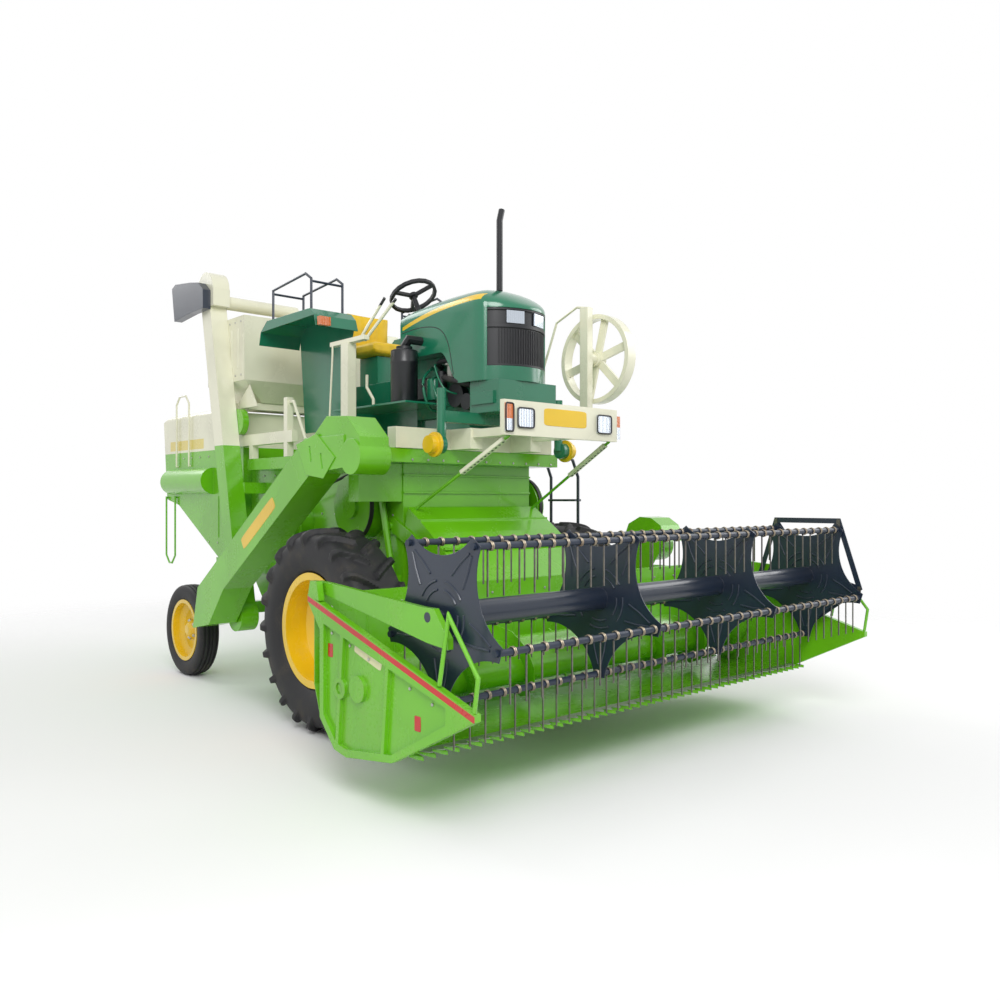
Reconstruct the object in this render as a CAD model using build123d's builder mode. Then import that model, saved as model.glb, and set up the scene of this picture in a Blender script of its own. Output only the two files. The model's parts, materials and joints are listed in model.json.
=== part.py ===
"""Tractor-mounted combine harvester with a 12 ft header, parked with the header raised.

Frame: X to the driver's left, -Y forward, +Z up, millimetres, Z = 0 on the ground.
The origin is on the ground under the middle of the machine's bounding box.
Places along the machine are given as distances aft of the drive axle, so forward is negative.
"""
from build123d import *
from math import cos, hypot, pi, radians, sin, sqrt
import os

os.makedirs("parts", exist_ok=True)

# Reach behind the drive axle, and wheelbase
rear_reach = 4130
rear_wheelbase = 2605

# Fits and gaps
seat_gap = 0.3
pin_gap = 0.05
bearing_gap = 0.4
hinge_gap = 2
running_gap = 8

# Stock
sheet = 4
panel_sheet = 6
plate = 8
heavy_plate = 12
tube_radius = 14
wire_radius = 10
tube_sides = 8

# Drive wheels
drive_tyre_radius = 710
drive_tyre_width = 415
drive_track = 2320
lug_height = 34
lug_count = 20
lug_width = 36
lug_lead = 62
lug_trail = 42
drive_bead_radius = 356
drive_flange_radius = 400
drive_hub_radius = 120
drive_disc_inset = 60
axle_housing_radius = 95
final_drive_radius = 175
final_drive_width = 190

# Steered wheels
steer_tyre_radius = 415
steer_tyre_width = 180
steer_track = 2120
steer_bead_radius = 255
steer_flange_radius = 280
steer_rib_height = 9
steer_hub_radius = 62
kingpin_track = 1700
kingpin_radius = 24
kingpin_rise = 160
kingpin_boss = 130
steer_beam_side = 110
stub_radius = 30
pivot_radius = 25

# Thresher body, sills and deck
body_half = 640
body_front = -130
body_rear = 2260
body_floor = 560
sill_side = 100
sill_bottom = 960
deck_z = 1880
deck_depth = 100
deck_half = 780
deck_front = -320
deck_rear = 2050
hood_half = 720
hood_top = 2500

# Header
header_half = 1900
panel_wall = 40
header_back = -950
header_top = 1070
header_floor = 310
auger_y = -1270
auger_z = 590
auger_tube_radius = 150
auger_radius = 245
auger_pitch = 480
auger_stub_radius = 30
finger_radius = 8
cutter_y = -1850
cutter_z = 345
cutter_depth = 70
cutter_sheet = 10
guard_pitch = 76.2
guard_length = 85
guard_width = 24
knife_sheet = 5
knife_stroke = 76.2
lift_pivot_y = 20
lift_pivot_z = 1420
lift_pin_radius = 30
lift_low = -8
lift_high = 14

# Reel and its parallel tine control
reel_y = -1985
reel_z = 1040
reel_radius = 435
reel_end_room = 140
reel_tube_radius = 65
reel_shaft_radius = 25
bat_count = 5
spider_count = 4
spider_sheet = 4
spider_tip_half = 38
spider_overhang = 26
spider_waist = 300
tine_bar_radius = 17
tine_length = 245
tine_pitch = 105
tine_side = 7
crank_length = 65
crank_sheet = 5
crank_half = 16
star_pin_radius = 8
star_half = 24
star_disc_radius = 110
arm_side = 34
arm_y = -1000
arm_z = 1120
arm_pin_radius = 14
reel_lift_high = 16

# Header lift cylinders
lift_x = 420
lift_base = (-20, 520)
lift_eye = (-580, 755)
barrel_radius = 42
rod_radius = 22
lift_base_pin = 16
lift_eye_pin = 14
eye_drift = 5

# Tractor
bonnet_half = 335
bonnet_nose = -800
bonnet_shoulder = -600
bonnet_rear = 330
bonnet_top = 3175
bonnet_floor = 2470
arch_top = 2720
engine_half = 190
engine_floor = 2250
tractor_axle_y = 1350
fender_inner = 470
fender_outer = 860
fender_top = 3140
step_z = 2350
seat_z = 2970

# Belt pulley
pulley_x = 800
pulley_y = -740
pulley_z = 2720
pulley_radius = 350
pulley_width = 90

# Grain tank
tank_front = 2000
tank_length = 750
tank_top = 3270
tank_wall_low = 2690
tank_floor = 2510
hopper_side_run = 250
hopper_end_run = 150

# Elevators on the right side
elevator_inner = 840
elevator_outer = 1000
return_inner = 1020
return_outer = 1270

# Worked out from the sizes above
rail_z = deck_z + deck_depth
sill_top = sill_bottom + sill_side
feeder_half = body_half + hinge_gap - seat_gap
tank_half = elevator_inner - seat_gap
reel_half = header_half - reel_end_room
crank_x = reel_half + heavy_plate
star_x = crank_x + crank_sheet + 1
arm_x = header_half - panel_wall - arm_side / 2 - 13
auger_half = header_half - panel_wall - running_gap
bat_step = 360 / bat_count
first_bat = 90 + bat_step / 2
bat_angles = [first_bat + bat_step * k for k in range(bat_count)]
bats = [
    (reel_y + reel_radius * cos(radians(a)), reel_z + reel_radius * sin(radians(a)))
    for a in bat_angles
]
foremost = radians(bat_step * 1.5 - 90)
front_reach = (
    (reel_radius + spider_overhang) * cos(foremost) + spider_tip_half * sin(foremost) - reel_y
)
axle_y = (front_reach - rear_reach) / 2
sides = ((-1, "right"), (1, "left"))


def aft(distance):
    """Y of a place that lies this far behind the drive axle."""
    return axle_y + distance


def side_plane(x):
    """Plane across the machine at x: its own x runs aft from the drive axle, its own y up."""
    return Plane(origin=(x, axle_y, 0), x_dir=(0, 1, 0), z_dir=(1, 0, 0))


def front_plane(distance):
    """Upright plane that faces forward: its own x runs to the left, its own y up."""
    return Plane(origin=(0, aft(distance), 0), x_dir=(1, 0, 0), z_dir=(0, -1, 0))


def save(builder, name):
    """Label a finished piece and write it to its own STEP file."""
    builder.part.label = name
    export_step(builder.part, f"parts/{name}.step")


def slab(x_low, x_high, outline, mode=Mode.ADD):
    """A plate or block between two x values with the given outline of (aft, up) points."""
    with BuildSketch(side_plane(min(x_low, x_high))) as profile:
        with BuildLine():
            Polyline(*outline, close=True)
        make_face()
    extrude(profile.sketch, amount=abs(x_high - x_low), mode=mode)


def cross_slab(aft_low, aft_high, outline, mode=Mode.ADD):
    """A plate or block between two places aft with the given outline of (x, up) points."""
    with BuildSketch(front_plane(aft_high)) as profile:
        with BuildLine():
            Polyline(*outline, close=True)
        make_face()
    extrude(profile.sketch, amount=aft_high - aft_low, mode=mode)


def block(x_low, x_high, aft_low, aft_high, z_low, z_high, mode=Mode.ADD):
    """A straight block given by its limits, the middle pair measured aft of the drive axle."""
    centre = ((x_low + x_high) / 2, aft((aft_low + aft_high) / 2), (z_low + z_high) / 2)
    with Locations(centre):
        Box(abs(x_high - x_low), aft_high - aft_low, z_high - z_low, mode=mode)


def bar(start, end, radius, corners=0):
    """A straight round or many-sided bar between two (x, aft, z) points."""
    low = Vector(start[0], aft(start[1]), start[2])
    high = Vector(end[0], aft(end[1]), end[2])
    with BuildSketch(Plane(origin=low, z_dir=(high - low).normalized())) as section:
        if corners:
            RegularPolygon(radius, corners)
        else:
            Circle(radius)
    extrude(section.sketch, amount=(high - low).length)


def bent_rod(points, radius):
    """A bent rod through (x, aft, z) points, mitred at each bend."""
    places = [Vector(x, aft(distance), z) for x, distance, z in points]
    with BuildLine() as path:
        Polyline(*places)
    with BuildSketch(Plane(origin=places[0], z_dir=places[1] - places[0])) as section:
        RegularPolygon(radius, tube_sides)
    sweep(section.sketch, path=path.wires()[0], transition=Transition.RIGHT)


def side_disc(x_low, x_high, distance, z, radius, mode=Mode.ADD):
    """A disc or cylinder across the machine."""
    with BuildSketch(side_plane(min(x_low, x_high))) as disc:
        with Locations((distance, z)):
            Circle(radius)
    extrude(disc.sketch, amount=abs(x_high - x_low), mode=mode)


def bent_sheet(points, thickness):
    """Outline of a sheet bent along the given line, its thickness laid to the right of the line."""
    inner = []
    for before, here, after in zip([None] + points[:-1], points, points[1:] + [None]):
        normals = []
        for start, end in ((before, here), (here, after)):
            if start and end:
                run = hypot(end[0] - start[0], end[1] - start[1])
                normals.append(((end[1] - start[1]) / run, (start[0] - end[0]) / run))
        middle = (sum(n[0] for n in normals), sum(n[1] for n in normals))
        size = hypot(*middle)
        mitre = thickness * len(normals) / size
        inner.append((here[0] + middle[0] / size * mitre, here[1] + middle[1] / size * mitre))
    return points + inner[::-1]


def spider_corner(angle, hand):
    """One corner of a reel spider's tip, as (aft, up)."""
    turn = radians(angle)
    reach = reel_radius + spider_overhang
    return (
        reel_y + reach * cos(turn) - hand * spider_tip_half * sin(turn),
        reel_z + reach * sin(turn) + hand * spider_tip_half * cos(turn),
    )


def flight_section(x, turn):
    """One radial section of an auger flight, turned by so many degrees about the auger."""
    spoke = (0, cos(radians(turn)), sin(radians(turn)))
    across = (0, -sin(radians(turn)), cos(radians(turn)))
    origin = (x, aft(auger_y), auger_z)
    width = auger_radius - auger_tube_radius + panel_sheet
    with BuildSketch(Plane(origin=origin, x_dir=spoke, z_dir=across)) as section:
        with Locations((auger_radius - width / 2, 0)):
            Rectangle(width, panel_sheet)
    return section.sketch


# Drive tyres: a rounded carcass with bent chevron lugs
tyre_half = drive_tyre_width / 2
carcass_radius = drive_tyre_radius - lug_height
shoulder_drop = 50
shoulder_radius = carcass_radius - shoulder_drop
sidewall_radius = (drive_bead_radius + carcass_radius) / 2
bead_half = 0.8 * tyre_half
lug_reach = lug_lead + lug_width / 2
lug_top = sqrt(drive_tyre_radius**2 - lug_reach**2)
lug_bend = 0.55 * tyre_half
lug_end = 0.97 * tyre_half
crown_tilt = 3
tyre_facets = 2 * lug_count
carcass_side = [
    (bead_half, drive_flange_radius + running_gap),
    (tyre_half, sidewall_radius),
    (0.88 * tyre_half, shoulder_radius),
    (0.45 * tyre_half, carcass_radius),
]
for side, name in sides:
    with BuildPart() as tyre:
        for x, radius in carcass_side + [(-x, r) for x, r in carcass_side[::-1]]:
            with BuildSketch(Plane.YZ.offset(x)):
                RegularPolygon(radius, tyre_facets)
        loft(ruled=True)
        with Locations(Rotation(0, 90, 0)):
            Cylinder(drive_bead_radius, 2 * drive_tyre_width, mode=Mode.SUBTRACT)
        for flank in (-1, 1):
            lug_line = [
                (0, -lug_lead - lug_width / 2),
                (0, -lug_lead + lug_width / 2),
                (flank * lug_bend, lug_width / 2),
                (flank * lug_end, lug_trail + lug_width / 2),
                (flank * lug_end, lug_trail - lug_width / 2),
                (flank * lug_bend, -lug_width / 2),
            ]
            with BuildSketch(Plane.XY) as lug_face:
                with BuildLine():
                    Polyline(*lug_line, close=True)
                make_face()
            depth = lug_height + shoulder_drop
            lug = extrude(lug_face.sketch, -depth, mode=Mode.PRIVATE)
            lug = Pos(0, 0, lug_top) * Rotation(0, flank * crown_tilt, 0) * lug
            steps = [360 * (k + (flank + 1) / 4) / lug_count for k in range(lug_count)]
            add([Rotation(step, 0, 0) * lug for step in steps])
    with BuildPart() as tyre_placed:
        with Locations((side * drive_track / 2, axle_y, drive_tyre_radius)):
            add(tyre.part)
    save(tyre_placed, f"tyre_front_{name}")

# Drive rims: drop centre, dished disc and hub
drive_seat = drive_bead_radius - seat_gap
drive_well = drive_bead_radius - plate
dish_depth = 60
dish_radius = drive_well - 90
hub_length = 90
drive_rim_side = [
    (bead_half, drive_seat),
    (bead_half + seat_gap, drive_seat),
    (bead_half + seat_gap, drive_flange_radius),
    (bead_half + plate, drive_flange_radius),
    (bead_half + plate, drive_well),
]
disc_back = -drive_disc_inset
for side, name in sides:
    with BuildPart() as rim:
        with BuildSketch(Plane.XZ):
            with BuildLine():
                Polyline(
                    *drive_rim_side,
                    (disc_back + plate + dish_depth, drive_well),
                    (disc_back + plate, dish_radius),
                    (disc_back + plate, drive_hub_radius),
                    (disc_back + hub_length - 20, drive_hub_radius),
                    (disc_back + hub_length, drive_hub_radius - 40),
                    (disc_back + hub_length, 0),
                    (disc_back, 0),
                    (disc_back, dish_radius),
                    (disc_back + dish_depth, drive_well),
                    *[(-x, r) for x, r in drive_rim_side[::-1]],
                    close=True,
                )
            make_face()
        revolve(axis=Axis.X)
    turn = 0 if side > 0 else 180
    with BuildPart() as rim_placed:
        with Locations(Location((side * drive_track / 2, axle_y, drive_tyre_radius), (0, 0, turn))):
            add(rim.part)
    save(rim_placed, f"rim_front_{name}")

# Steered tyres with three ribs, their rims, and the knuckles that carry them
steer_half = steer_tyre_width / 2
steer_shoulder = steer_tyre_radius - 26
groove_radius = steer_tyre_radius - steer_rib_height
steer_bead_half = 0.8 * steer_half
steer_tyre_side = [
    (steer_bead_half, steer_bead_radius),
    (steer_bead_half, steer_flange_radius + running_gap),
    (steer_half, (steer_bead_radius + steer_shoulder) / 2),
    (0.9 * steer_half, steer_shoulder),
    (0.5 * steer_half, groove_radius),
    (0.2 * steer_half, groove_radius),
    (0.16 * steer_half, steer_tyre_radius),
]
steer_well = steer_bead_radius - plate
steer_rim_side = [
    (steer_bead_half, steer_bead_radius - seat_gap),
    (steer_bead_half + seat_gap, steer_bead_radius - seat_gap),
    (steer_bead_half + seat_gap, steer_flange_radius),
    (steer_bead_half + plate, steer_flange_radius),
    (steer_bead_half + plate, steer_well),
]
steer_disc_x = 10
steer_hub_half = 45
kingpin_x = kingpin_track / 2
steer_beam_z = steer_tyre_radius + kingpin_rise
hub_block = 110
arm_length = 150
for side, name in sides:
    wheel_place = (side * steer_track / 2, aft(rear_wheelbase), steer_tyre_radius)
    turn = 0 if side > 0 else 180
    with BuildPart() as steer_tyre:
        with BuildSketch(Plane.XZ):
            with BuildLine():
                Polyline(*steer_tyre_side, *[(-x, r) for x, r in steer_tyre_side[::-1]], close=True)
            make_face()
        revolve(axis=Axis.X)
    with BuildPart() as steer_tyre_placed:
        with Locations(wheel_place):
            add(steer_tyre.part)
    save(steer_tyre_placed, f"tyre_rear_{name}")

    with BuildPart() as steer_rim:
        with BuildSketch(Plane.XZ):
            with BuildLine():
                Polyline(
                    *steer_rim_side,
                    (2 * steer_disc_x, steer_well),
                    (-steer_disc_x, steer_well - 60),
                    (-steer_disc_x, steer_hub_radius + 30),
                    (steer_hub_half - 5, steer_hub_radius),
                    (steer_hub_half + plate, steer_hub_radius - 20),
                    (steer_hub_half + plate, 0),
                    (steer_hub_half, 0),
                    (steer_hub_half, stub_radius + pin_gap),
                    (-steer_hub_half, stub_radius + pin_gap),
                    (-steer_hub_half, steer_hub_radius),
                    (-steer_disc_x - plate, steer_hub_radius),
                    (-steer_disc_x - plate, steer_well - 60),
                    (2 * steer_disc_x - plate, steer_well),
                    *[(-x, r) for x, r in steer_rim_side[::-1]],
                    close=True,
                )
            make_face()
        revolve(axis=Axis.X)
    with BuildPart() as steer_rim_placed:
        with Locations(Location(wheel_place, (0, 0, turn))):
            add(steer_rim.part)
    save(steer_rim_placed, f"rim_rear_{name}")

    pin_place = (side * kingpin_x, aft(rear_wheelbase))
    pin_top = steer_beam_z + kingpin_boss / 2 + heavy_plate
    stub_end = steer_track / 2 + steer_hub_half - seat_gap
    with BuildPart() as knuckle:
        with Locations((*pin_place, steer_tyre_radius)):
            Cylinder(2 * kingpin_radius, hub_block)
            Cylinder(kingpin_radius, pin_top - steer_tyre_radius, align=(Align.CENTER, Align.CENTER, Align.MIN))
        side_disc(side * kingpin_x, side * stub_end, rear_wheelbase, steer_tyre_radius, stub_radius)
        block(
            side * kingpin_x - 20,
            side * kingpin_x + 20,
            rear_wheelbase,
            rear_wheelbase + arm_length,
            steer_tyre_radius + 30,
            steer_tyre_radius + 50,
        )
    save(knuckle, f"knuckle_{name}")

with BuildPart() as steer_axle:
    low = steer_beam_z - steer_beam_side / 2
    beam_end = kingpin_x - 2 * kingpin_radius
    front = rear_wheelbase - steer_beam_side / 2
    block(-beam_end, beam_end, front, front + steer_beam_side, low, low + steer_beam_side)
    for side, name in sides:
        with Locations((side * kingpin_x, aft(rear_wheelbase), steer_beam_z)):
            Cylinder(2.5 * kingpin_radius, kingpin_boss)
            Cylinder(kingpin_radius + pin_gap, kingpin_boss, mode=Mode.SUBTRACT)
    with Locations((0, aft(rear_wheelbase), steer_beam_z)):
        Cylinder(pivot_radius + pin_gap, steer_beam_side, rotation=(90, 0, 0), mode=Mode.SUBTRACT)
save(steer_axle, "steer_axle")

# Sills under the body, with the cross member and pivot pin that carry the steered axle
bracket_half = 130
bracket_sheet = 16
with BuildPart() as sills:
    for side, name in sides:
        inner = side * body_half
        block(inner, inner + side * sill_side, -sill_side, 2790, sill_bottom, sill_top)
    cross_half = body_half + sill_side / 2
    cross_front = rear_wheelbase - steer_beam_side / 2 - seat_gap - bracket_sheet
    cross_rear = rear_wheelbase + steer_beam_side / 2 + seat_gap + bracket_sheet
    block(-cross_half, cross_half, cross_front, cross_rear, sill_bottom, sill_top)
    for edge in (cross_front, cross_rear - bracket_sheet):
        cross_slab(
            edge,
            edge + bracket_sheet,
            [
                (-bracket_half, sill_bottom),
                (-bracket_half / 2, steer_beam_z - steer_beam_side / 2),
                (bracket_half / 2, steer_beam_z - steer_beam_side / 2),
                (bracket_half, sill_bottom),
            ],
        )
    with Locations((0, aft(rear_wheelbase), steer_beam_z)):
        Cylinder(pivot_radius, cross_rear - cross_front, rotation=(90, 0, 0))
save(sills, "chassis_sills")

# Drive axle: housing, final drives, pedestals to the body and lugs for the lift cylinders
with BuildPart() as drive_axle:
    axle_half = drive_track / 2 - drive_disc_inset - seat_gap
    side_disc(-axle_half, axle_half, 0, drive_tyre_radius, axle_housing_radius)
    for side, name in sides:
        inner = side * (axle_half - final_drive_width)
        side_disc(side * axle_half, inner, 0, drive_tyre_radius, final_drive_radius)
        block(side * 510, side * 610, -90, 90, drive_tyre_radius, sill_bottom)
        for face in (-1, 1):
            near = side * lift_x + face * (barrel_radius + hinge_gap + running_gap)
            far = near + face * heavy_plate
            base_y, base_z = lift_base
            slab(
                near,
                far,
                [
                    (base_y - 60, drive_tyre_radius - 40),
                    (base_y - 30, base_z - 30),
                    (base_y + 30, base_z - 30),
                    (base_y + 60, drive_tyre_radius - 40),
                ],
            )
        pin_half = barrel_radius + hinge_gap + running_gap + heavy_plate
        side_disc(side * lift_x - pin_half, side * lift_x + pin_half, *lift_base, lift_base_pin)
    block(-260, 260, -150, 230, drive_tyre_radius - 170, drive_tyre_radius + 170)
save(drive_axle, "drive_axle")

# Thresher body: front wall over the axle, deep middle, floor rising to the rear wheels
body_outline = [
    (body_front, sill_bottom),
    (520, sill_bottom),
    (700, body_floor),
    (1900, body_floor),
    (2080, 760),
    (body_rear, sill_bottom),
    (body_rear, deck_z),
    (body_front, deck_z),
]
rib_depth = 14
with BuildPart() as thresher:
    slab(-body_half, body_half, body_outline)
    for rib_z in (1660, 1790):
        block(-body_half, body_half, body_front - rib_depth, body_front, rib_z, rib_z + rib_depth)
    for side, name in sides:
        stub = body_half + hinge_gap + 2 * heavy_plate
        side_disc(side * body_half, side * stub, lift_pivot_y, lift_pivot_z, lift_pin_radius)
        for rib_y in (760, 1240, 1720):
            low = side * body_half
            block(low, low + side * rib_depth, rib_y, rib_y + 40, body_floor, sill_bottom)
save(thresher, "thresher_body")

# Straw hood behind the body, with the round tailings housing on its right side
hood_outline = [
    (body_rear, sill_top),
    (2790, sill_top),
    (3730, 1560),
    (4040, 1620),
    (rear_reach, 2440),
    (3960, hood_top),
    (3000, hood_top),
    (body_rear, 2420),
]
bulge_z = 1800
bulge_radius = 130
bulge_front = 2900
bulge_length = 1000
with BuildPart() as rear_hood:
    slab(-hood_half, hood_half, hood_outline)
    fillet(rear_hood.edges().filter_by(Axis.Y, tolerance=8).group_by(Axis.Z)[-1], 60)
    with Locations((-hood_half, aft(bulge_front + bulge_length / 2), bulge_z)):
        Cylinder(bulge_radius, bulge_length, rotation=(90, 0, 0))
save(rear_hood, "rear_hood")

# Wire hoops on the right side of the hood
hoop_x = -hood_half - 2 * wire_radius
with BuildPart() as hoops:
    for low, high, feet, crown in ((3430, 3740, 1960, 2680), (3780, 4010, 1640, 950)):
        lean = 80 if crown > feet else -80
        bent_rod(
            [
                (-hood_half - seat_gap, low, feet),
                (hoop_x, low, feet),
                (hoop_x, low, crown - lean),
                (hoop_x, low + 80, crown),
                (hoop_x, high - 80, crown),
                (hoop_x, high, crown - lean),
                (hoop_x, high, feet),
                (-hood_half - seat_gap, high, feet),
            ],
            wire_radius,
        )
save(hoops, "hood_hoops")

# Deck on the body that carries the tractor
with BuildPart() as deck:
    block(-deck_half, deck_half, deck_front, deck_rear, deck_z, rail_z)
    block(-return_inner + seat_gap, 0, deck_front, deck_front + deck_depth, deck_z, rail_z)
save(deck, "deck")

# Grain tank with a hopper floor, and the frame that carries it beside the hood
tank_middle = tank_front + tank_length / 2
with BuildPart() as tank:
    with BuildSketch(Plane.XY.offset(tank_wall_low)) as wall:
        with Locations((0, aft(tank_middle))):
            Rectangle(2 * tank_half, tank_length)
    extrude(amount=tank_top - tank_wall_low)
    with BuildSketch(Plane.XY.offset(tank_wall_low)):
        with Locations((0, aft(tank_middle))):
            Rectangle(2 * tank_half, tank_length)
    with BuildSketch(Plane.XY.offset(tank_floor)):
        with Locations((0, aft(tank_middle))):
            Rectangle(2 * (tank_half - hopper_side_run), tank_length - 2 * hopper_end_run)
    loft()
    offset(amount=-sheet, openings=tank.faces().sort_by(Axis.Z)[-1])
save(tank, "grain_tank")

frame_inner = hood_half + hinge_gap
frame_outer = frame_inner + 60
frame_z = 2100
frame_side = 100
cross_z = 2445
post_side = 60
post_places = (tank_front + hopper_end_run + 15, tank_front + hopper_end_run + 190)
gauge_y = 1330
with BuildPart() as tank_frame:
    for side, name in sides:
        inner, outer = side * frame_inner, side * frame_outer
        block(inner, outer, 1250, post_places[1] + post_side, frame_z, frame_z + frame_side)
        for leg in (gauge_y, deck_rear - post_side - 30):
            block(inner, outer, leg, leg + post_side, rail_z, frame_z)
        for post in post_places:
            block(inner, outer, post, post + post_side, frame_z, cross_z)
    for post in post_places:
        block(-frame_outer, frame_outer, post, post + post_side, cross_z, tank_floor - seat_gap)
    block(-frame_outer, -frame_inner, gauge_y, gauge_y + post_side, frame_z, 2480)
    bent_rod(
        [
            (-frame_inner - post_side / 2, gauge_y, 2440),
            (-frame_inner - post_side / 2, gauge_y - 60, 2440),
            (-frame_inner - post_side / 2, 1010, rail_z + 30),
            (-frame_inner - post_side / 2, 1010, rail_z + seat_gap),
        ],
        tube_radius,
    )
    slab(
        -frame_outer - panel_sheet,
        -frame_outer,
        [(1850, cross_z), (post_places[0] + 30, cross_z), (post_places[0] + 30, tank_floor), (2000, 2650)],
    )
save(tank_frame, "tank_frame")

# Tractor on the deck: rails, axle with front frame, engine, transmission and bonnet
rail_height = 150
rail_half = 60
rail_x = 300
rail_front = -560
cross_rail_y = -330
with BuildPart() as rails:
    for side, name in sides:
        low = side * rail_x - rail_half
        block(low, low + 2 * rail_half, rail_front, 1600, rail_z, rail_z + rail_height)
    block(-850, 700, cross_rail_y, cross_rail_y + 100, rail_z, rail_z + rail_height)
save(rails, "tractor_rails")

nose_radius = (bonnet_half**2 + (bonnet_shoulder - bonnet_nose) ** 2) / 2 / (bonnet_shoulder - bonnet_nose)
nose_y = bonnet_nose + nose_radius
grille_half = 292
grille_low = 2575
grille_high = 2990
grille_depth = 28
grille_step = 3.4
grille_bars = 23
lamp_x = 120
lamp_wide = 140
lamp_high = 90
lamp_deep = 10
brow_z = 2850
bonnet_outline = [
    (-600, bonnet_floor),
    (-850, 2490),
    (-850, 3010),
    (-700, 3110),
    (-480, bonnet_top),
    (260, 3130),
    (bonnet_rear, 3060),
    (300, arch_top),
    (-180, arch_top),
    (-300, 2640),
    (-370, bonnet_floor),
]


def nose_band(outer, inner, half, z_low, z_high):
    """Band that follows the bonnet's round nose, between two radii and within a half width."""
    with BuildSketch(Plane.XY.offset(z_low)) as band:
        with Locations((0, aft(nose_y))):
            Circle(outer)
            Circle(inner, mode=Mode.SUBTRACT)
        with Locations((0, aft(nose_y - outer))):
            Rectangle(2 * half, 2 * nose_radius - 200, mode=Mode.INTERSECT)
    return extrude(band.sketch, z_high - z_low, mode=Mode.PRIVATE)


with BuildPart() as bonnet:
    with BuildSketch(Plane.XY.offset(bonnet_floor)):
        with Locations((0, aft(nose_y))):
            Circle(nose_radius)
        with Locations((0, aft((nose_y + bonnet_rear) / 2))):
            Rectangle(2 * bonnet_half, bonnet_rear - nose_y)
        with Locations((0, aft(0))):
            Rectangle(2 * bonnet_half, -2 * bonnet_nose, mode=Mode.INTERSECT)
    extrude(amount=bonnet_top - bonnet_floor)
    with BuildSketch(side_plane(-bonnet_half)) as profile:
        with BuildLine():
            Polyline(*bonnet_outline, close=True)
        make_face()
    extrude(profile.sketch, amount=2 * bonnet_half, mode=Mode.INTERSECT)
    with BuildSketch(front_plane(bonnet_rear)) as section:
        with BuildLine():
            low_left = (bonnet_half, bonnet_floor)
            eave = (bonnet_half, bonnet_top - 185)
            haunch = (bonnet_half - 165, bonnet_top - 22)
            Line(low_left, eave)
            ThreePointArc(eave, (bonnet_half - 42, bonnet_top - 70), haunch)
            ThreePointArc(haunch, (0, bonnet_top), (-haunch[0], haunch[1]))
            ThreePointArc((-haunch[0], haunch[1]), (42 - bonnet_half, bonnet_top - 70), (-eave[0], eave[1]))
            Line((-eave[0], eave[1]), (-low_left[0], low_left[1]))
            Line((-low_left[0], low_left[1]), low_left)
        make_face()
    extrude(section.sketch, amount=bonnet_rear - bonnet_nose, mode=Mode.INTERSECT)
    pocket_floor = nose_radius - grille_depth - seat_gap
    add(
        nose_band(nose_radius + 50, pocket_floor, grille_half + seat_gap, grille_low - seat_gap, grille_high + seat_gap),
        mode=Mode.SUBTRACT,
    )
save(bonnet, "tractor_bonnet")

with BuildPart() as grille:
    back = nose_radius - grille_depth
    add(nose_band(back + 12, back, grille_half, grille_low, grille_high))
    add(nose_band(back + 24, back, grille_half, brow_z, brow_z + 26))
    add(nose_band(back + 24, back, grille_half, grille_low, grille_low + 14))
    add(nose_band(back + 24, back, grille_half, grille_high - 14, grille_high))
    for k in range(grille_bars):
        turn = grille_step * (k - (grille_bars - 1) / 2)
        with Locations(Location((0, aft(nose_y), (grille_low + brow_z) / 2), (0, 0, turn))):
            with Locations((0, -back - 12, 0)):
                Box(7, 16, brow_z - grille_low - 20)
save(grille, "grille")

with BuildPart() as engine:
    clear = bearing_gap
    slab(
        -engine_half,
        engine_half,
        [
            (-470 + clear, engine_floor),
            (-470 + clear, bonnet_floor - clear),
            (-370 + clear, bonnet_floor - clear),
            (-300, 2640 - 2 * clear),
            (-180, arch_top - 2 * clear),
            (300 - clear, arch_top - 2 * clear),
            (300 - clear, engine_floor),
        ],
    )
save(engine, "tractor_engine")

axle_beam_y = -515
spindle_x = 590
with BuildPart() as tractor_axle:
    frame_low = engine_floor - 10
    block(-290, 290, -780, -470, frame_low, bonnet_floor - seat_gap)
    for face in (-1, 1):
        block(face * 290, face * 306, -740, -500, frame_low + 60, frame_low + 150)
    block(-spindle_x, spindle_x, axle_beam_y - 45, axle_beam_y + 45, frame_low - 80, frame_low)
    for side, name in sides:
        bar((side * spindle_x, axle_beam_y, 2000), (side * spindle_x, axle_beam_y, 2400), 34, 12)
        side_disc(side * spindle_x, side * (spindle_x + 130), axle_beam_y - 10, 2000, 62)
        side_disc(side * (spindle_x + 60), side * (spindle_x + 80), axle_beam_y - 10, 2000, 88)
save(tractor_axle, "tractor_front_axle")

step_sheet = 15
with BuildPart() as transmission:
    rear_end = 1600
    top = 2600
    rest = rail_z + rail_height + seat_gap
    block(-engine_half, engine_half, 300, rear_end, rest, top)
    for low in (500, 1400):
        block(-rail_x - rail_half, rail_x + rail_half, low, low + 100, rest, rest + 40)
    axle_end = fender_inner - seat_gap
    side_disc(-axle_end, axle_end, tractor_axle_y, 2400, 110)
    block(-140, 140, 930, 1200, top, seat_z - 120 - seat_gap)
    block(-engine_half + 40, engine_half - 40, -300, 300, rest, engine_floor)
    for side, name in sides:
        block(side * (engine_half + seat_gap), side * 600, -100, 900, step_z - step_sheet, step_z)
save(transmission, "tractor_transmission")

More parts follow.
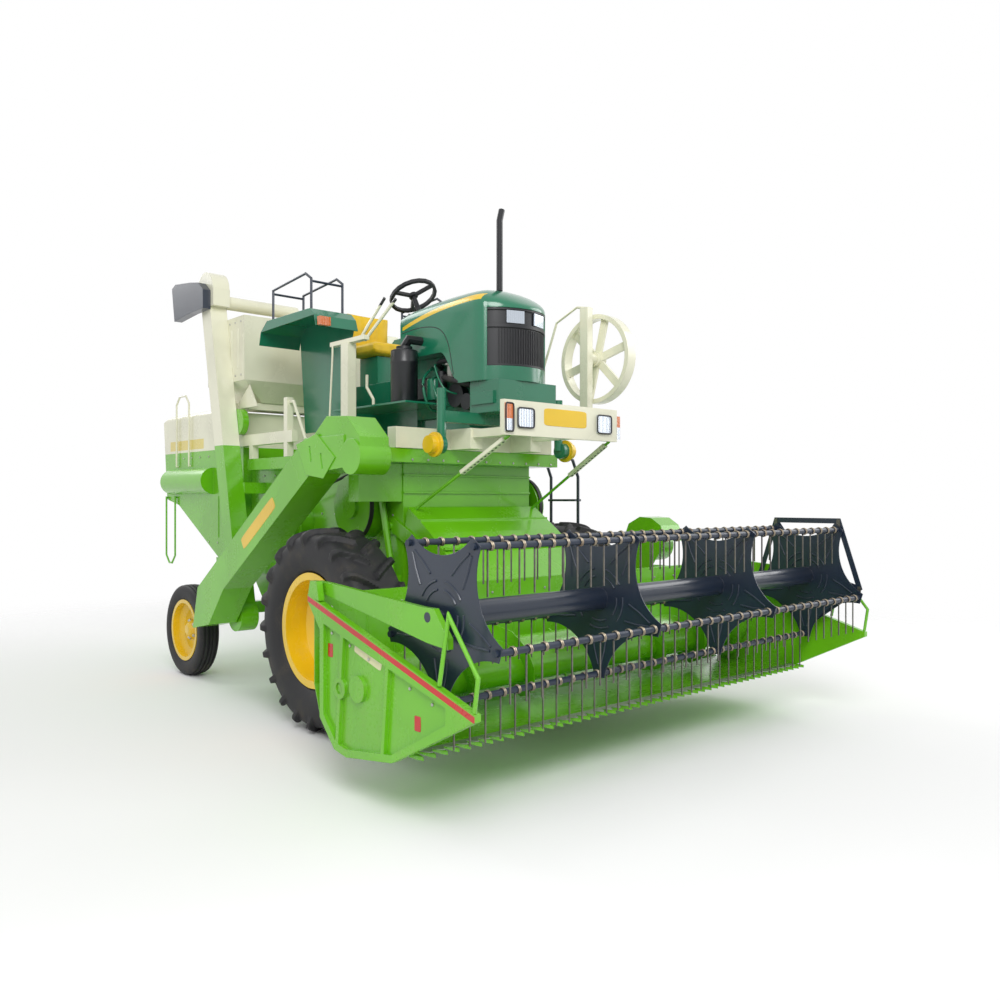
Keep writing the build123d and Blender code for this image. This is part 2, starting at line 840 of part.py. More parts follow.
wheel_radius = 205
wheel_middle = Vector(0, aft(610), 3330)
wheel_axis = Vector(0, 0.5, 0.87)
with BuildPart() as wheel:
    slab(
        -230,
        230,
        [
            (bonnet_rear + hinge_gap, 2600 + seat_gap),
            (bonnet_rear + hinge_gap, 3060),
            (360, 3110),
            (440, 3060),
            (410, 2600 + seat_gap),
        ],
    )
    with BuildSketch(Plane(origin=wheel_middle, z_dir=wheel_axis)) as ring:
        RegularPolygon(wheel_radius, 20)
        RegularPolygon(wheel_radius - 2 * tube_radius, 20, mode=Mode.SUBTRACT)
        for turn in (90, 210, 330):
            with Locations(Location((0, 0), turn)):
                with Locations((wheel_radius / 2, 0)):
                    Rectangle(wheel_radius - tube_radius, 24)
        Circle(38)
    extrude(ring.sketch, amount=tube_radius, both=True)
    bar((0, 405, 2975), (0, 612, 3334), 22, 12)
save(wheel, "steering_wheel")

fender_line = [
    (730, fender_top - 150),
    (760, fender_top - 60),
    (830, fender_top),
    (1540, fender_top),
    (1650, fender_top - 80),
    (1680, fender_top - 190),
]
panel_line = [
    (760, fender_top - 62),
    (832, fender_top - 2),
    (1540, fender_top - 2),
    (1648, fender_top - 82),
    (1560, 2200),
    (910, 2200),
    (900, 2700),
]
for side, name in sides:
    inner, outer = side * fender_inner, side * fender_outer
    with BuildPart() as fender:
        slab(inner, outer, bent_sheet(fender_line, panel_sheet))
        slab(inner, inner + side * plate, panel_line)
        slab(outer - side * plate, outer, [(x, z if z > 2990 else 3050) for x, z in panel_line[:4]])
    save(fender, f"fender_{name}")

with BuildPart() as fender_rails:
    for side, name in sides:
        for x in (side * (fender_inner + 60), side * (fender_outer - 40)):
            bent_rod(
                [
                    (x, 1500, fender_top + seat_gap),
                    (x, 1500, 3400),
                    (x, 960, 3445),
                    (x, 870, 3390),
                    (x, 870, fender_top + seat_gap),
                ],
                tube_radius - 3,
            )
        for along, z in ((1500, 3370), (870, 3370)):
            bar((side * (fender_inner + 60), along, z), (side * (fender_outer - 40), along, z), tube_radius - 4, tube_sides)
save(fender_rails, "fender_rails")

with BuildPart() as seat:
    block(-230, 230, 860, 1260, seat_z - 120, seat_z)
    block(-220, 220, 1260 + seat_gap, 1340, seat_z - 70, 3260)
save(seat, "seat")

with BuildPart() as exhaust:
    pipe_x, pipe_y = -25, -500
    bent_rod(
        [(pipe_x, pipe_y, bonnet_top), (pipe_x, pipe_y, 3700), (pipe_x + 22, pipe_y, 3785)],
        24,
    )
save(exhaust, "exhaust_pipe")

with BuildPart() as fittings:
    can_x, can_y = -450, 120
    bar((can_x, can_y, step_z + seat_gap), (can_x, can_y, 2755), 102, 20)
    bar((can_x, can_y, 2755), (can_x, can_y, 2785), 60, 12)
    bent_rod([(can_x, can_y, 2785), (can_x, can_y - 60, 2835), (-bonnet_half - seat_gap, can_y - 60, 2835)], 34)
    bowl_x = -engine_half - 35 - seat_gap
    bar((bowl_x, -60, 2460), (bowl_x, -60, 2600), 35, 12)
    side_disc(-engine_half - 60, -engine_half - seat_gap, -250, 2400, 90)
    side_disc(-engine_half - 75, -engine_half - seat_gap, -395, 2340, 62)
    block(-engine_half - 90, -engine_half - seat_gap, 40, 260, 2400, 2560)
    block(engine_half + seat_gap, engine_half + 80, -250, 240, 2500, 2620)
save(fittings, "engine_fittings")

# Bumper with its lamps
bumper_half = 565
bumper_front = -1140
bumper_sheet = 40
bumper_low = 2040
bumper_high = 2275
with BuildPart() as bumper:
    block(-bumper_half, bumper_half, bumper_front, bumper_front + bumper_sheet, bumper_low, bumper_high)
    for side, name in sides:
        low = side * rail_x - 40
        block(low, low + 80, bumper_front + bumper_sheet, rail_front, 2060, 2120)
save(bumper, "bumper")

lens = 12
with BuildPart() as lamps:
    front = bumper_front - seat_gap
    for low, high in ((-450, -300), (340, 490)):
        block(low, high, front - lens, front, 2095, 2225)
    block(-560, -490, front - lens, front, 2065, 2250)
    block(bumper_half + seat_gap, bumper_half + 36, bumper_front, bumper_front + 50, 2060, 2230)
    for side, name in sides:
        low = side * (fender_outer - 110)
        block(low, low + side * 100, 690, 730 - seat_gap, 2992, 3060)
        turn = side * 18.4
        lamp_radius = back + 12 + seat_gap + lamp_deep / 2
        with Locations(Location((0, aft(nose_y), brow_z + 26 + lamp_high / 2 + 6), (0, 0, turn))):
            with Locations((0, -lamp_radius, 0)):
                Box(lamp_wide, lamp_deep, lamp_high)
save(lamps, "lamps")

# Control post with levers on the right edge of the deck
post_x = -740
post_half = 38
with BuildPart() as controls:
    post_top = 2820
    block(post_x - post_half, post_x + post_half, 400, 500, rail_z + seat_gap, post_top)
    block(post_x - 25, post_x + 25, 200, 680, post_top, post_top + 34)
    bar((post_x + 25, 350, post_top + 4), (post_x + 45, 30, 3110), wire_radius + 2, tube_sides)
    bar((post_x + 25, 260, post_top + 4), (post_x + 60, -90, 3085), wire_radius + 2, tube_sides)
    bent_rod(
        [(-550, 480, 2600), (-550, 480, 2500), (-550, 390, 2340 + 60), (-550, 390, step_z + seat_gap)],
        wire_radius + 2,
    )
    bent_rod(
        [
            (post_x - 25, 640, post_top),
            (post_x - 25, 640, post_top - 60),
            (post_x - 25, 700, rail_z + 80),
            (post_x - 25, 700, rail_z + seat_gap),
        ],
        wire_radius - 2,
    )
save(controls, "control_post")

# Belt pulley on its post
with BuildPart() as pulley:
    low, high = pulley_x - pulley_width / 2, pulley_x + pulley_width / 2
    rim_sheet = 36
    side_disc(low, high, pulley_y, pulley_z, pulley_radius)
    side_disc(low, high, pulley_y, pulley_z, pulley_radius - rim_sheet, mode=Mode.SUBTRACT)
    side_disc(low, high, pulley_y, pulley_z, 56)
    for k in range(6):
        with Locations(Location((pulley_x, aft(pulley_y), pulley_z), (60 * k + 15, 0, 0))):
            with Locations((0, 0, pulley_radius / 2)):
                Box(22, 62, pulley_radius - rim_sheet)
    side_disc(low, high, pulley_y, pulley_z, pivot_radius + pin_gap, mode=Mode.SUBTRACT)
save(pulley, "belt_pulley")

with BuildPart() as pulley_bracket:
    post_low, post_high = 640, 700
    arm_low = rail_z + rail_height + seat_gap
    block(post_low, post_high, -780, cross_rail_y + 100, arm_low, arm_low + 80)
    block(post_low, post_high, -780, -700, arm_low, 3110)
    side_disc(post_high, pulley_x + pulley_width / 2 + running_gap, pulley_y, pulley_z, pivot_radius)
    side_disc(post_high, pulley_x - pulley_width / 2 - seat_gap, pulley_y, pulley_z, 44)
    bent_rod(
        [
            (670, -740, 3110),
            (670, -640, 3130),
            (670, -420, 3040),
            (670, -250, 2640),
            (670, -250, arm_low + 80),
        ],
        wire_radius,
    )
save(pulley_bracket, "pulley_bracket")

# Ladder on the left
ladder_x = 1440
ladder_foot = 650
with BuildPart() as ladder:
    for distance in (60, 400):
        bent_rod(
            [
                (deck_half + seat_gap, distance, rail_z - 50),
                (deck_half + 60, distance, rail_z - 50),
                (1230, distance, rail_z + 40),
                (1370, distance, rail_z - 10),
                (ladder_x, distance, rail_z - 160),
                (ladder_x, distance, ladder_foot),
            ],
            tube_radius,
        )
        bent_rod(
            [
                (deck_half - 60, distance, rail_z + seat_gap),
                (deck_half - 60, distance, 2760),
                (deck_half + 60, distance, 2850),
                (deck_half + 180, distance, 2700),
                (1250, distance, rail_z + 38),
            ],
            tube_radius,
        )
    for step in range(4):
        low = ladder_foot + 50 + step * 300
        block(ladder_x - 40, ladder_x + 40, 60, 400, low, low + 20)
save(ladder, "ladder")

# Grain elevator on the right side: leg, round foot, head and fill tube
leg_foot = (1850, 600)
leg_head = (2450, 3400)
leg_half = 86
foot_radius = 130
head_radius = 165
fill_place = (2400, 3440)
fill_radius = 62
lean = hypot(leg_head[0] - leg_foot[0], leg_head[1] - leg_foot[1])
leg_across = (leg_half * (leg_head[1] - leg_foot[1]) / lean, -leg_half * (leg_head[0] - leg_foot[0]) / lean)
with BuildPart() as clean_elevator:
    slab(
        -elevator_outer,
        -elevator_inner,
        [
            (leg_foot[0] - leg_across[0], leg_foot[1] - leg_across[1]),
            (leg_foot[0] + leg_across[0], leg_foot[1] + leg_across[1]),
            (leg_head[0] + leg_across[0], leg_head[1] + leg_across[1]),
            (leg_head[0] - leg_across[0], leg_head[1] - leg_across[1]),
        ],
    )
    side_disc(-elevator_outer, -elevator_inner, *leg_foot, foot_radius)
    head_place = (leg_head[0] + 10, leg_head[1] + 140)
    side_disc(-elevator_outer, -elevator_inner, *head_place, head_radius)
    slab(
        -elevator_outer,
        -elevator_inner,
        [(2285, 3380), (2285, 3540), (2625, 3540), (2560, 3380)],
    )
    for reach_z in (900, 1500):
        leg_y = leg_foot[0] + (reach_z - leg_foot[1]) * (leg_head[0] - leg_foot[0]) / (leg_head[1] - leg_foot[1])
        block(-elevator_inner, -body_half - seat_gap, leg_y - 50, leg_y + 50, reach_z + 170, reach_z + 270)
    side_disc(-elevator_inner, -100, *fill_place, fill_radius)
    side_disc(-elevator_inner, -elevator_inner + plate, *fill_place, fill_radius + 22)
save(clean_elevator, "grain_elevator")

with BuildPart() as elevator_guard:
    slab(
        -elevator_outer - 74,
        -elevator_outer - seat_gap,
        [(2340, 3350), (2340, 3520), (2450, 3600), (2620, 3630), (2960, 3670), (3040, 3640), (2980, 3320), (2620, 3345)],
    )
save(elevator_guard, "elevator_guard")

# Return elevator across the right front, with its hood, round head drum and slotted flange
drum_place = (-400, 1900)
with BuildPart() as return_elevator:
    slab(
        -return_outer,
        -return_inner,
        [
            (2100, 500),
            (2000, 860),
            (190, 2050),
            (deck_front, 2050),
            (deck_front, 1830),
            (110, 1800),
            (1500, 880),
            (1780, 560),
        ],
    )
    slab(
        -return_outer + 10,
        -return_inner - 10,
        [(120, 2040), (-90, 2190), (-340, 2175), (-500, 2030), (-500, 1960), (120, 1960)],
    )
    side_disc(-return_outer, -return_inner, *drum_place, 120)
    block(-return_inner, -body_half - seat_gap, -120, 10, 1600, deck_z - hinge_gap)
    flange = [(300, 2010), (20, 2075), (-220, 1900), (-70, 1760), (160, 1790)]
    slab(-return_outer - plate, -return_outer, flange)
    for slot_y, slot_z in ((90, 1935), (-60, 1880)):
        slab(
            -return_outer - plate,
            -return_outer,
            [
                (slot_y - 12, slot_z - 55),
                (slot_y + 8, slot_z - 55),
                (slot_y + 32, slot_z + 55),
                (slot_y + 12, slot_z + 55),
            ],
            mode=Mode.SUBTRACT,
        )
save(return_elevator, "return_elevator")

# Drives on both sides of the body
fan_place = (330, 1560)
with BuildPart() as drives:
    wall = body_half + seat_gap
    side_disc(-wall - 150, -wall, *fan_place, 245)
    side_disc(-wall - 175, -wall - 150, *fan_place, 90)
    side_disc(-wall - 120, -wall, 1320, 1420, 190)
    side_disc(-wall - 150, -wall - 120, 1320, 1420, 150)
    side_disc(-frame_outer - 56, -frame_outer - seat_gap, 2140, 2320, 118)
    bar((-710, 110, deck_z - 5.8), (-690, -60, sill_top + 5.8), 26, tube_sides)
    side_disc(wall, wall + 60, 60, 1560, 40)
    side_disc(wall + 60, wall + 130, 60, 1560, 230)
    side_disc(wall, wall + 110, 900, 1400, 200)
    side_disc(wall, wall + 90, 1650, 1300, 160)
save(drives, "side_drives")

# Header: flanged side panels, trough, back beam, auger bearings and arm lugs
panel_outline = [
    (-1070, 890),
    (-1070, 400),
    (-1220, 250),
    (-1340, 230),
    (-1760, 290),
    (-2400, 610),
    (-2400, 645),
    (header_back + 10, 1075),
    (header_back + 10, 1035),
]
trough_outer = header_half - panel_wall
flange_depth = 22
rib_width = 14
trough_line = [
    (header_back, header_top),
    (header_back, 560),
    (header_back - 60, 400),
    (header_back - 180, header_floor),
    (auger_y, header_floor),
    (cutter_y + 25, cutter_z - cutter_sheet - seat_gap),
]
with BuildPart() as header:
    for side, name in sides:
        inner, outer = side * trough_outer, side * header_half
        with BuildSketch(side_plane(min(inner, outer))) as panel:
            with BuildLine():
                Polyline(*panel_outline, close=True)
            make_face()
        extrude(panel.sketch, amount=panel_wall)
        recess_face = side * (header_half - flange_depth)
        with BuildSketch(side_plane(min(recess_face, outer))) as recess:
            with BuildLine():
                Polyline(
                    (-1110, 925),
                    (-1110, 420),
                    (-1240, 290),
                    (-1340, 272),
                    (-1750, 328),
                    (-2190, 560),
                    (-2190, 640),
                    close=True,
                )
            make_face()
        extrude(recess.sketch, amount=flange_depth, mode=Mode.SUBTRACT)
        for top, foot in (((-1300, 900), (-1245, 262)), ((-1720, 785), (-1675, 310))):
            slab(
                recess_face,
                outer,
                [
                    (top[0] - rib_width, top[1]),
                    (foot[0] - rib_width, foot[1]),
                    (foot[0] + rib_width, foot[1]),
                    (top[0] + rib_width, top[1]),
                ],
            )
        side_disc(recess_face, outer, -1440, 610, 72)
        side_disc(inner, outer, auger_y, auger_z, auger_stub_radius + 28)
        side_disc(inner, outer, auger_y, auger_z, auger_stub_radius + bearing_gap, mode=Mode.SUBTRACT)
        slab(
            inner,
            outer,
            [(arm_y - 60, 1045), (arm_y - 34, arm_z + 34), (arm_y + 34, arm_z + 34), (arm_y + 58, 1068)],
        )
        pin_end = side * (arm_x - arm_side / 2 - running_gap)
        side_disc(pin_end, inner, arm_y, arm_z, arm_pin_radius)
        base = side * (header_half - 14)
        bent_rod([(base, -2130, 735), (base, -2200, 1070), (base, -2410, 810), (base, -2385, 650)], 11)
    slab(-trough_outer, trough_outer, bent_sheet(trough_line, -panel_sheet))
    beam_depth = 40
    block(
        -trough_outer,
        trough_outer,
        header_back,
        header_back + beam_depth,
        header_top - beam_depth,
        header_top,
    )
save(header, "header_platform")

feeder_front = header_back + panel_sheet + seat_gap
feeder_outline = [
    (feeder_front, header_top - 2 * beam_depth),
    (feeder_front, 600),
    (-200, 1030),
    (-200, 1180),
    (-150, lift_pivot_z),
    (-190, 1560),
    (-450, 1380),
]
feeder_slope = (1030 - 600) / (-200 - feeder_front)
eye_y, eye_z = lift_eye
with BuildPart() as feeder:
    slab(-feeder_half, feeder_half, feeder_outline)
    for rib_y, rib_z in ((-340, 1454), (-620, 1262)):
        block(-feeder_half, feeder_half, rib_y, rib_y + 20, rib_z, rib_z + 20)
    for side, name in sides:
        for face in (-1, 1):
            near = side * lift_x + face * (rod_radius + running_gap)
            slab(
                near,
                near + face * heavy_plate,
                [
                    (eye_y - 60, 600 + feeder_slope * (eye_y - 60 - feeder_front) + 5),
                    (eye_y - 26, eye_z - 26),
                    (eye_y + 26, eye_z - 26),
                    (eye_y + 60, 600 + feeder_slope * (eye_y + 60 - feeder_front) + 5),
                ],
            )
        pin_half = rod_radius + running_gap + heavy_plate
        side_disc(side * lift_x - pin_half, side * lift_x + pin_half, *lift_eye, lift_eye_pin)
save(feeder, "feeder_house")

with BuildPart() as feeder_hinge:
    for side, name in sides:
        inner = side * (body_half + hinge_gap)
        slab(
            inner,
            inner + side * heavy_plate,
            [
                (-400, 1180),
                (-400, 1300),
                (-30, lift_pivot_z + 60),
                (70, lift_pivot_z + 60),
                (70, lift_pivot_z - 60),
                (-30, lift_pivot_z - 60),
            ],
        )
    ends = body_half + hinge_gap + heavy_plate + 1
    side_disc(-ends, ends, lift_pivot_y, lift_pivot_z, lift_pin_radius + pin_gap, mode=Mode.SUBTRACT)
save(feeder_hinge, "feeder_hinge_plates")

# Finger bar with its guards, and the knife that strokes across them
cutter_half = trough_outer - seat_gap
guard_count = int(2 * (cutter_half - guard_width) / guard_pitch) + 1
guard_low = cutter_z - 2 * cutter_sheet
with BuildPart() as cutter:
    cutter_rear = cutter_y + cutter_depth
    block(-cutter_half, cutter_half, cutter_y, cutter_rear, cutter_z - cutter_sheet, cutter_z)
    for k in range(guard_count):
        x = guard_pitch * (k - (guard_count - 1) / 2)
        with BuildSketch(Plane.XY.offset(guard_low)) as guard:
            with BuildLine():
                Polyline(
                    (x - guard_width / 2, aft(cutter_y + 20)),
                    (x - guard_width / 2, aft(cutter_y - guard_length / 2)),
                    (x, aft(cutter_y - guard_length)),
                    (x + guard_width / 2, aft(cutter_y - guard_length / 2)),
                    (x + guard_width / 2, aft(cutter_y + 20)),
                    close=True,
                )
            make_face()
        extrude(guard.sketch, amount=cutter_z - guard_low)
save(cutter, "cutter_bar")

knife_half = cutter_half - knife_stroke / 2 - running_gap
knife_back = 22
tooth_depth = 52
with BuildPart() as knife:
    tooth_count = int(2 * knife_half / guard_pitch)
    first = -guard_pitch * tooth_count / 2
    edge = [(first, aft(cutter_y + knife_back))]
    for k in range(tooth_count):
        left = first + guard_pitch * k
        edge += [
            (left, aft(cutter_y)),
            (left + guard_pitch / 2 - 6, aft(cutter_y - tooth_depth)),
            (left + guard_pitch / 2 + 6, aft(cutter_y - tooth_depth)),
        ]
    edge += [(-first, aft(cutter_y)), (-first, aft(cutter_y + knife_back))]
    with BuildSketch(Plane.XY.offset(cutter_z + seat_gap)):
        with BuildLine():
            Polyline(*edge, close=True)
        make_face()
    extrude(amount=knife_sheet)
save(knife, "knife")

# Auger: tube on stub shafts, flights that feed to the middle, and fingers between them
flight_steps = 12
feed_half = 420
with BuildPart() as auger:
    for hand in (-1, 1):
        length = auger_half - panel_sheet - feed_half
        count = round(length / auger_pitch * flight_steps)
        sections = [
            flight_section(
                hand * (feed_half + length * k / count),
                hand * 360 * length / auger_pitch * k / count,
            )
            for k in range(count + 1)
        ]
        loft(sections, ruled=True)
    side_disc(-auger_half, auger_half, auger_y, auger_z, auger_tube_radius)
    stub_end = header_half - plate
    side_disc(-stub_end, stub_end, auger_y, auger_z, auger_stub_radius)
    for k in range(6):
        x = feed_half * (2 * k / 5 - 1) * 0.8
        with Locations(Location((x, aft(auger_y), auger_z), (150 * k, 0, 0))):
            Cylinder(finger_radius, auger_radius, align=(Align.CENTER, Align.CENTER, Align.MIN))
save(auger, "header_auger")

# Guard over the header's drive, behind the back wall on the left
guard_outline = [
    (header_back + panel_sheet + seat_gap, 800),
    (header_back + panel_sheet + seat_gap, header_top + 0),
    (header_back + beam_depth + seat_gap, header_top + seat_gap),
    (header_back + beam_depth + seat_gap, 1270),
    (-860, 1400),
    (-760, 1462),
    (-640, 1470),
    (-520, 1410),
    (-455, 1260),
    (-455, 1000),
    (-600, 800),
]
guard_inner, guard_outer = 1450, 1700
with BuildPart() as drive_guard:
    slab(guard_inner, guard_outer, bent_sheet(guard_outline[3:], sheet))
    slab(guard_inner, guard_inner + sheet, guard_outline[3:])
    side_disc(guard_inner + sheet, guard_outer - 20, -690, 1230, 130)
    side_disc(guard_inner + sheet, guard_outer - 40, -660, 960, 90)
    block(
        guard_inner,
        guard_inner + 60,
        header_back + beam_depth + seat_gap,
        -600,
        header_top - beam_depth,
        header_top,
    )
save(drive_guard, "header_drive_guard")

# Reel: tube, stub shafts and waisted spiders
with BuildPart() as reel:
    side_disc(-reel_half, reel_half, reel_y, reel_z, reel_tube_radius)
    shaft_end = arm_x + arm_side / 2
    side_disc(-shaft_end, shaft_end, reel_y, reel_z, reel_shaft_radius)
    for k in range(spider_count):
        x = reel_half * (2 * k / (spider_count - 1) - 1) - spider_sheet / 2
        with BuildSketch(side_plane(x)) as spider:
            with BuildLine():
                for angle in bat_angles:
                    start = spider_corner(angle, 1)
                    waist_angle = radians(angle + bat_step / 2)
                    waist = (
                        reel_y + spider_waist * cos(waist_angle),
                        reel_z + spider_waist * sin(waist_angle),
                    )
                    Line(spider_corner(angle, -1), start)
                    ThreePointArc(start, waist, spider_corner(angle + bat_step, -1))
            make_face()
            with Locations(*bats):
                Circle(tine_bar_radius + bearing_gap, mode=Mode.SUBTRACT)
        extrude(spider.sketch, amount=spider_sheet)
save(reel, "reel")

# Tine bars: each has a crank whose pin runs in the control star
tine_count = int(2 * reel_half / tine_pitch)
for k, (y, z) in enumerate(bats):
    with BuildPart() as tine_bar:
        side_disc(-reel_half - 20, crank_x + crank_sheet, y, z, tine_bar_radius)
        slab(
            crank_x,
            crank_x + crank_sheet,
            [
                (y - crank_half, z),
                (y + crank_half, z),
                (y + crank_half - 4, z + crank_length + 12),
                (y - crank_half + 4, z + crank_length + 12),
            ],
        )
        side_disc(crank_x, star_x + crank_sheet, y, z + crank_length, star_pin_radius)
        for n in range(tine_count):
            x = tine_pitch * (n - (tine_count - 1) / 2)
            with Locations((x, aft(y), z - tine_length / 2)):
                Box(tine_side, tine_side, tine_length)
    save(tine_bar, f"tine_bar_{k + 1}")

# Control star: a five-cornered ring on spokes that turns on the eccentric disc of the left arm
star_z = reel_z + crank_length
star_bore = star_disc_radius + bearing_gap
with BuildPart() as star:
    with BuildSketch(side_plane(star_x)) as star_face:
        with Locations((reel_y, star_z)):
            RegularPolygon(reel_radius + star_half, bat_count, rotation=first_bat)
            RegularPolygon(reel_radius - star_half, bat_count, rotation=first_bat, mode=Mode.SUBTRACT)
            Circle(star_bore + 2 * tube_radius)
        for angle in bat_angles:
            with Locations(Location((reel_y, star_z), angle)):
                with Locations((reel_radius / 2, 0)):
                    Rectangle(reel_radius - star_half, 2 * crank_half)
        with Locations((reel_y, star_z)):
            Circle(star_bore, mode=Mode.SUBTRACT)
        with Locations(*[(y, z + crank_length) for y, z in bats]):
            Circle(star_pin_radius + pin_gap, mode=Mode.SUBTRACT)
    extrude(star_face.sketch, amount=crank_sheet)
save(star, "reel_star")

# Lift arms of the reel, pinned to the header and with bearings round the reel's shaft
with BuildPart() as arms:
    for side, name in sides:
        inner, outer = side * (arm_x - arm_side / 2), side * (arm_x + arm_side / 2)
        slab(
            inner,
            outer,
            [
                (arm_y + 40, arm_z - 30),
                (arm_y + 40, arm_z + 30),
                (arm_y - 60, arm_z + 26),
                (reel_y + 50, reel_z + 46),
                (reel_y - 50, reel_z + 46),
                (reel_y - 160, reel_z - 90),
                (reel_y - 160, reel_z - 140),
                (reel_y, reel_z - 125),
            ],
        )
        side_disc(inner, outer, reel_y, reel_z, reel_shaft_radius + bearing_gap, mode=Mode.SUBTRACT)
        side_disc(inner, outer, arm_y, arm_z, arm_pin_radius + pin_gap, mode=Mode.SUBTRACT)
    disc_face = star_x - 1
    side_disc(disc_face, arm_x - arm_side / 2, reel_y, star_z, star_disc_radius)
    side_disc(
        disc_face,
        arm_x - arm_side / 2,
        reel_y,
        reel_z,
        reel_shaft_radius + bearing_gap,
        mode=Mode.SUBTRACT,
    )
save(arms, "reel_arms")

# Lift cylinders: barrels on the axle's pins, rods that slide in them
base_y, base_z = lift_base
stroke = Vector(0, eye_y - base_y, eye_z - base_z)
mouth_share = 0.72
tail_share = 0.12
eye_half = barrel_radius - 6
bore_radius = rod_radius + bearing_gap


def along_lift(side, share):
    """Place at this share of the way from a cylinder's base pin to its eye, as (x, aft, z)."""
    return (side * lift_x, base_y + stroke.Y * share, base_z + stroke.Z * share)


with BuildPart() as barrels:
    for side, name in sides:
        bar(along_lift(side, 0.03), along_lift(side, mouth_share), barrel_radius)
        side_disc(side * lift_x - eye_half, side * lift_x + eye_half, *lift_base, 30)
    for side, name in sides:
        low = Vector(side * lift_x, aft(base_y), base_z)
        start = low + stroke * tail_share
        with BuildSketch(Plane(origin=start, z_dir=stroke.normalized())) as bore:
            Circle(bore_radius)
        extrude(bore.sketch, amount=stroke.length, mode=Mode.SUBTRACT)
        side_disc(
            side * lift_x - barrel_radius,
            side * lift_x + barrel_radius,
            *lift_base,
            lift_base_pin + pin_gap,
            mode=Mode.SUBTRACT,
        )
save(barrels, "lift_barrels")

with BuildPart() as rods:
    for side, name in sides:
        bar(along_lift(side, 0.33), along_lift(side, 0.96), rod_radius)
        side_disc(side * lift_x - rod_radius, side * lift_x + rod_radius, *lift_eye, lift_eye_pin + eye_drift + 14)
        side_disc(
            side * lift_x - rod_radius,
            side * lift_x + rod_radius,
            *lift_eye,
            lift_eye_pin + eye_drift,
            mode=Mode.SUBTRACT,
        )
save(rods, "lift_rods")
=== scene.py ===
"""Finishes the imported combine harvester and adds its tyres, bonnet skin, padding and small fittings."""
import json
import math

import bmesh
import bpy
import numpy as np
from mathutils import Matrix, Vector


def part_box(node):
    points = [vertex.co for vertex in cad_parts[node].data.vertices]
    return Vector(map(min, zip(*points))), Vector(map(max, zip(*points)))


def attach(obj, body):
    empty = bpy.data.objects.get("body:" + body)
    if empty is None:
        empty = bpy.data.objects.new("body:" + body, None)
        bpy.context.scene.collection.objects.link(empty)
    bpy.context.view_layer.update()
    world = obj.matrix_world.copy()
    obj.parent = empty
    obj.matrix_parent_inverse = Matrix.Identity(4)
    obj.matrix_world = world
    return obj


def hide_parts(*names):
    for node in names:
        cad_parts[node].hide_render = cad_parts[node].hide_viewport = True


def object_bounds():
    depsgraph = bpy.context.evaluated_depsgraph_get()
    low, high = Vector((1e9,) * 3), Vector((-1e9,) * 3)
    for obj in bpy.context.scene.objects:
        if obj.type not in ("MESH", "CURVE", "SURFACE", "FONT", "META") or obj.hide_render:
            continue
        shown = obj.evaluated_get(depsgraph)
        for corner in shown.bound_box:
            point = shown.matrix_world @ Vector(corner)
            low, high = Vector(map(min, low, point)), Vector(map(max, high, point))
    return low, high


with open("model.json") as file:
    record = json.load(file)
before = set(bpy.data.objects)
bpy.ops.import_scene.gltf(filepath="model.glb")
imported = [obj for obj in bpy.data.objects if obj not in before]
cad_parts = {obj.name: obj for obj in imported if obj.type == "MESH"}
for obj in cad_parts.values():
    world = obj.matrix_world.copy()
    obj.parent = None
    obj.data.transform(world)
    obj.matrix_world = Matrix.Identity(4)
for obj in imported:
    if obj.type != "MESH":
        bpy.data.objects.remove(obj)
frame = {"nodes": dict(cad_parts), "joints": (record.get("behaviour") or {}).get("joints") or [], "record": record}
cad_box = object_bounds()

bl_info = {
    "name": "Combine harvester finish",
    "version": (1, 0, 0),
    "blender": (4, 5, 0),
    "location": "3D View > Sidebar > Harvester",
    "description": "Enamels, tyres, padding, fasteners and studio of a combine harvester",
    "category": "Object",
}

joints = {joint["name"]: joint for joint in frame["joints"]}
body_of_node = {
    node: body for body, names in frame["record"]["behaviour"]["bodies"].items() for node in names
}
axle_y = joints["front_wheel_right_spin"]["pos_m"][1]
sides = ((-1, "right"), (1, "left"))
# Where the lines that look for faces start, clear of the machine: across, and aft of the drive axle
beside, ahead, behind = 2.4, -4.0, 6.0
header_half = cad_box[1][0]


